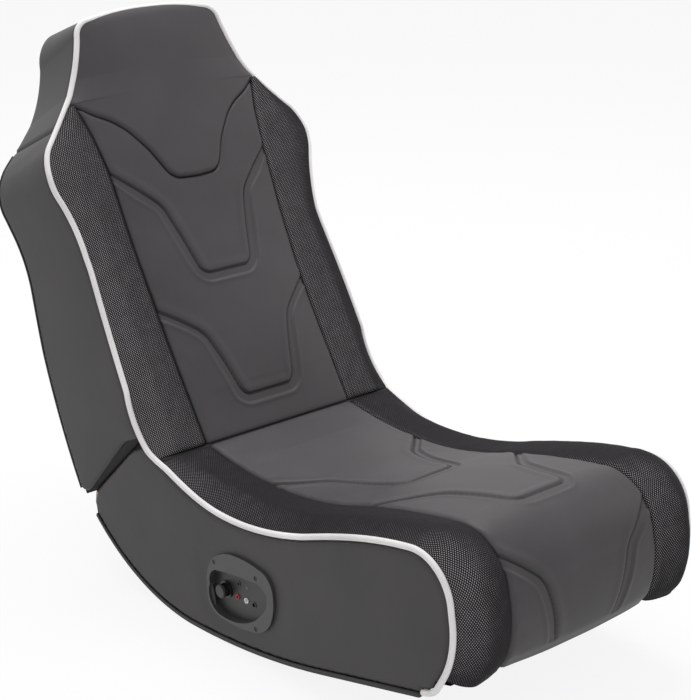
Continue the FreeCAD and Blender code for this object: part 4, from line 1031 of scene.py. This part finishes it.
def sheet_solid(name, outer, inner, faces, rims, uv, flip=False):
    """A closed piece between two sheets with the same faces, joined along their rims."""
    count = len(outer)
    both = [tuple(f) for f in faces] + [tuple(count + i for i in f[::-1]) for f in faces]
    for rim in rims:
        size = len(rim)
        for k in range(size):
            a, b = rim[k], rim[(k + 1) % size]
            both.append((b, a, count + a, count + b))
    if flip:
        both = [f[::-1] for f in both]
    obj = make_object(name, np.concatenate([outer, inner]), both, np.concatenate([uv, uv]))
    work = bmesh.new()
    work.from_mesh(obj.data)
    bmesh.ops.recalc_face_normals(work, faces=work.faces)
    work.to_mesh(obj.data)
    work.free()
    obj.data.polygons.foreach_set("use_smooth", [True] * len(obj.data.polygons))
    return obj


def wrinkles(points, gap, seed, fine):
    """Broad wrinkles of a cover, and small ones near its edge."""
    near_edge = fine * np.exp(-gap / WRINKLE_REACH) * ripple(points, 0.02, seed + 1)
    return 0.5 * ripple(points, 0.09, seed) + near_edge


def edge_roll(gap, radius, depth):
    """How far a cover rolls in at a distance from its edge."""
    return depth * (1 - quarter_round(gap, radius))


def seat_cover_loop():
    """The seat cover's outline as (y, z)."""
    cord = np.stack([path_y - normal_y * path_drop, path_z - normal_z * path_drop], -1)
    curl = rounded([tuple(cord[-1])] + PIPING_CURL, 6)
    line = relaxed(np.vstack([cord[:-1], curl]), 6)
    top = moved_left(line[::3], COVER_DROP - 0.2)
    runner = arc_samples(ROCKER, 4.0)[:, :2]
    runner = moved_left(np.vstack([runner, [ROCKER_FRONT]]), -STRIP - 0.2)
    ear = from_back(EAR)
    ear_line = rounded([tuple(top[0])] + ear + [(164, -117), tuple(runner[0])], 9)
    front = rounded([tuple(runner[-1]), (-512, -137), tuple(top[-1])], 3)
    return np.vstack([top, front[::-1][1:-1], runner[::-1], ear_line[::-1][1:-1]])


def seat_cover(side, name):
    """A side cover of the seat, with the panel's opening on the right."""
    loops = [seat_cover_loop()]
    if side < 0:
        loops.append(moved_left(np.array(RECESS_OUTLINE, float), -RECESS_WALL))
    spots, faces, rims = filled(loops, 4.0)
    gap = line_distance(*spots.T, closed(rims[0]))
    body = in_space(COVER_OUTER, *spots.T)
    dome = 1.6 * (1 - np.exp(-gap / 35.0))
    wrinkle = wrinkles(body, gap, 11, 0.25)
    if side < 0:
        panel = np.array(PANEL_OUTLINE, float)
        held = ~inside(spots, panel) * steady(line_distance(*spots.T, closed(panel)) / 40.0)
        dome = dome * held - 0.2 * (1 - held)
        wrinkle = wrinkle * held
    x = COVER_OUTER + dome + wrinkle * steady(gap / EDGE_CALM) - edge_roll(gap, 6.5, 3.2)
    outer = in_space(x, *spots.T) * np.array([side, 1, 1])
    inner = in_space(COVER_INNER + 0.1, *spots.T) * np.array([side, 1, 1])
    total, rim_lists = 0, []
    for rim in rims:
        rim_lists.append(list(range(total, total + len(rim))))
        total += len(rim)
    obj = sheet_solid("seat_side_leather_" + name, outer, inner, faces, rim_lists, spots * MM)
    dress(obj, "cover_grey", "seat")
    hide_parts("seat_side_cover_" + name)


BACK_REAR = [
    (-214, -20), (-208, 110), (-198, 208), (-172, 340), (-143, 468), (-112, 560), (-90, 680),
]
rear_samples = arc_samples([(t, n) for n, t in BACK_REAR], 2.0)
SLOT_LINE = ([-215, -206, -192, -65, -38, 30], [7, 0, 1, 41, 38, 37])
HEAD_SEAM = ([-200, 0], [492, 471])


def rear_n(t):
    """How far back the back's rear edge lies at a height."""
    return np.interp(t, rear_samples[:, 0], rear_samples[:, 1])


def back_cover(side, name):
    """A side cover of the back, from the slot to the headrest's seam."""
    cols, rows = 60, 150
    v = np.linspace(0, 1, cols)[None, :]
    u = np.linspace(0, 1, rows)[:, None]
    slot = rounded(list(zip(*SLOT_LINE)), 8)
    low, high = np.full((1, cols), 20.0), np.full((1, cols), 480.0)
    for _ in range(12):
        for_low = piping_n(low) - COVER_DROP + (rear_n(low) - piping_n(low) + COVER_DROP) * v
        for_high = piping_n(high) - COVER_DROP + (rear_n(high) - piping_n(high) + COVER_DROP) * v
        low = level_over(slot, for_low)
        high = np.interp(for_high, *HEAD_SEAM) - 0.3
    t = low + (high - low) * u
    front, rear = piping_n(t) - COVER_DROP, rear_n(t) + 0.3
    n = front + (rear - front) * v
    x = edge_x(t, n) + COVER_RISE
    gap = np.minimum(np.minimum(front - n, n - rear), np.minimum(t - low, high - t))
    body = back_point(x, n, t)
    dome = 1.8 * (1 - np.exp(-gap / 40.0))
    wrinkle = wrinkles(body, gap, 13, 0.3)
    x = x + dome + wrinkle * steady(gap / EDGE_CALM) - edge_roll(gap, 6.0, 3.0)
    outer = back_point(x * side, n, t)
    inner = back_point((edge_x(t, n) - COVER_UNDER) * side, n, t)
    obj = grid_solid("back_side_leather_" + name, outer, inner, uv_of(n, t))
    dress(obj, "cover_grey", "back")
    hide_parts("back_side_cover_" + name)


def grid_solid(name, outer, inner, uv):
    """A closed piece between two grids of points."""
    rows, cols = outer.shape[:2]
    index = np.arange(rows * cols).reshape(rows, cols)
    return sheet_solid(name, outer.reshape(-1, 3), inner.reshape(-1, 3), grid_faces(index), [grid_rim(index)],
                       uv.reshape(-1, 2))


def head_cover():
    """The leather round the head, above the seams on both sides."""
    line = evenly(outline_above(300), 3.0)
    place = np.array([front_outline[np.argmin(np.hypot(*(front_outline[:, :2] - p).T)), 2] for p in line])
    place = np.interp(np.arange(len(line)), np.arange(0, len(line), 4), place[::4])
    fine = arc_samples(REAR_OUTLINE, 1.0)
    rear_xt = np.stack([np.interp(place, fine[:, 2], fine[:, k]) for k in (0, 1)], -1)
    cols = 50
    v = np.linspace(0, 1, cols)[None, :]
    n = np.full((len(line), cols), -60.0)
    for _ in range(12):
        t = at_depth(line[:, 1:2], rear_xt[:, 1:2], n)
        front, rear = piping_n(t) - COVER_DROP, rear_n(t) + 0.3
        n = front + (rear - front) * v
    x, t = (at_depth(line[:, k:k + 1], rear_xt[:, k:k + 1], n) for k in (0, 1))
    seam = np.interp(n, *HEAD_SEAM)
    keep = (t > seam + 0.5).all(axis=1)
    first = int(np.argmax(keep))
    x, t, n, front, rear, seam = (g[first:] for g in (x, t, n, front, rear, seam))
    for row, share in ((0, 0.0), (1, 0.5)):
        t[row] = seam[row] + 0.6 + (t[2] - seam[row] - 0.6) * share
        x[row] = edge_x(t[row], n[row])
    x, t, n, front, rear = (np.concatenate([g, (g * sign)[::-1][1:]]) for g, sign in
                            ((x, -1), (t, 1), (n, 1), (front, 1), (rear, 1)))
    along = np.stack([x, t], -1)
    run = np.gradient(along, axis=0)
    run /= np.maximum(np.linalg.norm(run, axis=-1), 1e-6)[..., None]
    out = np.stack([run[..., 1], -run[..., 0]], -1)
    steps = np.linalg.norm(np.diff(along, axis=0), axis=-1)
    length = np.concatenate([np.zeros((1, cols)), np.cumsum(steps, 0)])
    gap = np.minimum(np.minimum(front - n, n - rear), np.minimum(length, length[-1:] - length))
    body = back_point(x, n, t)
    dome = 1.4 * (1 - np.exp(-gap / 30.0)) + 0.5 * ripple(body, 0.08, 15) * steady(gap / EDGE_CALM)
    high = COVER_RISE + dome - edge_roll(gap, 6.0, 3.0)
    outer = back_point(x + out[..., 0] * high, n, t + out[..., 1] * high)
    inner = back_point(x - out[..., 0] * COVER_UNDER, n, t - out[..., 1] * COVER_UNDER)
    obj = grid_solid("headrest_side_leather", outer, inner, uv_of(length, n))
    dress(obj, "cover_grey", "back")
    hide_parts("headrest_side_cover")


# The gusset, linings and dust cloths, in black cloth darkened with painted shade: their lines as (n, t) on
# the back or (y, z) on the seat
HINGE_AT = (2.0, -6.06)
GUSSET_RADIUS = 4.5
CLOTH_THICKNESS = 0.6
LINING_FALL = 16
SEAT_SLOT = [(-13.6, -4), (-20.6, 14), (-27.6, 34), (-29, 34.5), (-110, 15.6), (-191, -3.6)]
BACK_SLOT = [(-28.5, 36.4), (-110, 17.4), (-193, -1.6), (-206.5, -0.6)]
BACK_HEEL = [(-212.0, 46), (-213.8, 23), (-211.4, 9.9), (-211.4, -2.6)]
SEAT_REAR = [(163.7, -101.6), (166, -117), (162.1, -136.4)]
BACK_FACE = edge_x(20, -200) - 2.3
BOARD_REACH = 189.5
BASE_HEIGHT = 13.0


def crease_gusset():
    """The black strip sewn between seat and back, down in the crease, darkened with painted shade."""
    angles = np.radians(np.linspace(205, 45, 21))
    line = np.array(HINGE_AT) + GUSSET_RADIUS * np.stack([np.cos(angles), np.sin(angles)], -1)
    xs = np.linspace(-205, 205, 60)
    outer, inner = (in_space(xs, edge[:, 0:1], edge[:, 1:2]) for edge in (line, moved_left(line, -0.3)))
    uv = np.stack(np.broadcast_arrays(xs * MM, np.linspace(0, 1, len(line))[:, None] * 0.02), -1)
    obj = grid_solid("crease_gusset", outer, inner, uv)
    dress(obj, "rear_black", material=black_cloth_painted_shade)
    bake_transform(obj)


def black_cloth(name, line, xs, us, body):
    """Thin black cloth on a (y, z) line, between places across the chair, darkened with painted shade."""
    grids = [in_space(xs, edge[:, 0:1], edge[:, 1:2]) for edge in (line, moved_left(line, -CLOTH_THICKNESS))]
    uv = np.stack(np.broadcast_arrays(us, np.arange(len(line))[:, None] * CLOTH_ROW), -1)
    dress(grid_solid(name, *grids, uv), "rear_black", body, black_cloth_painted_shade)


def slot_strip(name, side, line, body, fall, face_x):
    """Black lining over a frame's edge in the slot, and down its outer face, darkened with painted shade."""
    line = evenly(line, 4.0)
    both = np.stack([line, moved_left(line, -fall)], 1)
    us = np.array([0, 0.02])
    face = [in_space(x * side, both[..., 0], both[..., 1]) for x in (face_x + 0.3, face_x + 0.05)]
    uv = np.stack(np.broadcast_arrays(us, np.arange(len(line))[:, None] * CLOTH_ROW), -1)
    dress(grid_solid(name + "_face", *face, uv), "rear_black", body, black_cloth_painted_shade)
    black_cloth(name, line, np.array([FRAME_INNER - 2, face_x + 0.3]) * side, us, body)


def slot_linings():
    """Black cloth over the frames' edges in the slot beside the fold."""
    seat_edge = from_back(SEAT_SLOT)
    back_edge = from_back(BACK_SLOT)
    for side, name in SIDES:
        slot_strip("seat_slot_lining_" + name, side, seat_edge, "seat", LINING_FALL, COVER_INNER - 0.3)
        slot_strip("back_slot_lining_" + name, side, back_edge, "back", -LINING_FALL, BACK_FACE)


def dust_cloth(name, line, reach, body):
    """Black dust cloth across the chair along (y, z) points."""
    xs = np.linspace(-reach, reach, 40)
    black_cloth(name, evenly(rounded(line, 4), 4.0), xs, xs * MM, body)


def dust_cloths():
    """Cloth over the hinge boards and the openings at the back of the seat and under it."""
    dust_cloth("back_heel_cloth", from_back(BACK_HEEL), BACK_FACE, "back")
    dust_cloth("back_base_cloth", from_back([(-210.6, -3.4), (-86, -3.4)]), 189.0, "back")
    over_seat = from_back([(-86, -5.4), (-187.5, -5.4)]) + [(163.0, -102.5)]
    dust_cloth("seat_board_cloth", over_seat, BOARD_REACH, "seat")
    dust_cloth("seat_rear_cloth", SEAT_REAR, COVER_INNER - 0.3, "seat")
    runner = moved_left(arc_samples(ROCKER, 6.0)[:, :2], -BASE_HEIGHT)
    front = moved_left(np.array([ROCKER[-1], ROCKER_FRONT], float), -BASE_HEIGHT)
    base = np.vstack([[(159, -134)], runner[1:], front[1:], [(-537, -118)]])
    dust_cloth("seat_base_cloth", base, BOARD_REACH, "seat")


def welts():
    """Thin black welts along the covers' rear edges and the runners."""
    for side, name in SIDES:
        ts = np.arange(8, 488, 6.0)
        n = rear_n(ts) - 0.8
        line = back_point((edge_x(ts, n) + 1.2) * side, n, ts)
        dress(tube("back_welt_" + name, line, 0.0016, 8), "runner_black", "back", welt_leather)
        runner = arc_samples(ROCKER, 6.0)[:, :2]
        runner = moved_left(np.vstack([runner, [(-418, -161.5)], [ROCKER_FRONT]]), -STRIP - 0.6)
        line = in_space((COVER_OUTER + 0.2) * side, *runner.T)
        dress(tube("runner_welt_" + name, line, 0.0015, 8), "runner_black", "seat", welt_leather)


RECESS_OUTLINE = [
    (-111, -140), (-113, -124), (-123, -116), (-160, -109), (-198, -105), (-216, -105), (-228, -112),
    (-230, -124), (-222, -140), (-206, -157), (-184, -170), (-160, -177), (-136, -178), (-119, -173),
]
PANEL_OUTLINE = [
    (-105, -150), (-107, -120), (-116, -103), (-138, -88), (-165, -81), (-190, -80), (-215, -82.5),
    (-233, -90), (-242, -106), (-243, -127), (-236, -152), (-221, -168), (-196, -177), (-160, -182),
    (-128, -180.5), (-111, -171),
]
FLOOR_X = -203.0
RING_SEGMENTS = 36
KNOB_SPAN = (-203.5 - 3.0, -203.5 - 12.3)
KNOB_RADIUS, RIB_RADIUS = 8.3, 9.1
RIB_COUNT = 28
RIB_HALF = 0.055
KNOB = (-134.5, -142.5)
JACKS = {"red": (-157.0, -145.5), "white": (-175.3, -144.0)}


def ring(name, at, radius, wire_radius, slot):
    """A thin ring standing on the panel's floor."""
    around = np.arange(RING_SEGMENTS) * math.tau / RING_SEGMENTS
    section = np.arange(8) * math.tau / 8
    a, b = np.meshgrid(around, section, indexing="ij")
    r = radius + wire_radius * np.cos(b)
    points = in_space(FLOOR_X - 1.0 + wire_radius * np.sin(b), at[0] + r * np.cos(a), at[1] + r * np.sin(a))
    faces = grid_faces(np.arange(a.size).reshape(a.shape), around=True)
    obj = make_object(name, points.reshape(-1, 3), faces, np.stack([a, b], -1).reshape(-1, 2) * 0.01)
    dress(obj, slot, "seat")


def round_bezel():
    """Soften the edges of the moulded bezel and the knob."""
    for name, width in (("control_bezel", 0.0022), ("volume_knob", 0.0006)):
        bevel = nodes[name].modifiers.new("soft_edges", "BEVEL")
        bevel.width = width
        bevel.segments = 4
        bevel.limit_method = "ANGLE"
        bevel.angle_limit = math.radians(40)
        bevel.harden_normals = True


def knob_ribs():
    """Fine grip ribs round the volume knob."""
    points, faces = [], []
    section = ((KNOB_RADIUS, -1), (RIB_RADIUS, -0.5), (RIB_RADIUS, 0.5), (KNOB_RADIUS, 1))
    for k in range(RIB_COUNT):
        middle, start = k * math.tau / RIB_COUNT, len(points)
        for x in KNOB_SPAN:
            for radius, share in section:
                angle = middle + RIB_HALF * share
                y, z = KNOB[0] + radius * math.cos(angle), KNOB[1] + radius * math.sin(angle)
                points.append(in_space(x, y, z))
        for i in range(4):
            j = (i + 1) % 4
            faces.append((start + i, start + j, start + 4 + j, start + 4 + i))
        faces += [(start, start + 3, start + 2, start + 1), (start + 4, start + 5, start + 6, start + 7)]
    obj = make_object("knob_grip", np.array(points), faces, np.zeros((len(points), 2)))
    dress(obj, "knob_black", "volume_control")


seat_centre()
for side, name in SIDES:
    seat_bolster(side, name)
back_centre()
head_pad()
for side, name in SIDES:
    back_bolster(side, name)
make_piping()
for side, name in SIDES:
    seat_cover(side, name)
    back_cover(side, name)
head_cover()
crease_gusset()
slot_linings()
dust_cloths()
welts()
knob_ribs()
round_bezel()
for name, at in JACKS.items():
    ring(name + "_socket_ring", at, 3.2, 0.8, "socket_" + name)


# Floor, backdrop and light

def seen_directly(tree):
    """1 for rays from the camera, also through gloss or glass, and 0 for light that is cast."""
    rays = add(tree, "ShaderNodeLightPath")
    seen = maths(tree, "MAXIMUM", rays.outputs["Is Camera Ray"], rays.outputs["Is Glossy Ray"])
    return maths(tree, "MAXIMUM", seen, rays.outputs["Is Transmission Ray"])


def stage():
    """A pale floor that keeps the shadow, and soft studio light."""
    size = 12.0
    corners = np.array([[-size, -size, 0], [size, -size, 0], [size, size, 0], [-size, size, 0]])
    floor = make_object("floor", corners, [(0, 1, 2, 3)])
    material, tree, shader = new_material("floor_white")
    wire(tree, shader, Base_Color=(0.92, 0.92, 0.92, 1), Roughness=0.9)
    glow = wire(tree, add(tree, "ShaderNodeEmission"), Color=(1, 1, 1, 1), Strength=1.0)
    mix = add(tree, "ShaderNodeMixShader")
    tree.links.new(maths(tree, "MULTIPLY", seen_directly(tree), 0.88), mix.inputs[0])
    tree.links.new(shader.outputs[0], mix.inputs[1])
    tree.links.new(glow.outputs[0], mix.inputs[2])
    wire(tree, tree.nodes["Material Output"], Surface=mix.outputs[0])
    floor.data.materials.append(material)
    world = bpy.data.worlds.new("studio")
    bpy.context.scene.world = world
    world.use_nodes = True
    tree = world.node_tree
    wire(tree, tree.nodes["Background"], Color=(1, 1, 1, 1),
         Strength=maths(tree, "MULTIPLY_ADD", seen_directly(tree), 0.55, 0.45))
    lights = [
        ("key_light", (-1.8, -2.0, 2.6), (0, 0, 0.35), 2.2, 16),
        ("top_light", (0.4, 0.9, 3.1), (0, 0, 0.3), 2.4, 74),
        ("side_light", (2.6, -1.2, 1.6), (0, 0, 0.4), 1.6, 10),
    ]
    for name, at, aim, size, power in lights:
        data = bpy.data.lights.new(name, "AREA")
        data.size = size
        data.energy = power
        lamp = bpy.data.objects.new(name, data)
        lamp.location = at
        lamp.rotation_euler = (Vector(aim) - Vector(at)).to_track_quat("-Z", "Y").to_euler()
        bpy.context.scene.collection.objects.link(lamp)


stage()
bpy.context.scene.view_settings.view_transform = "Standard"
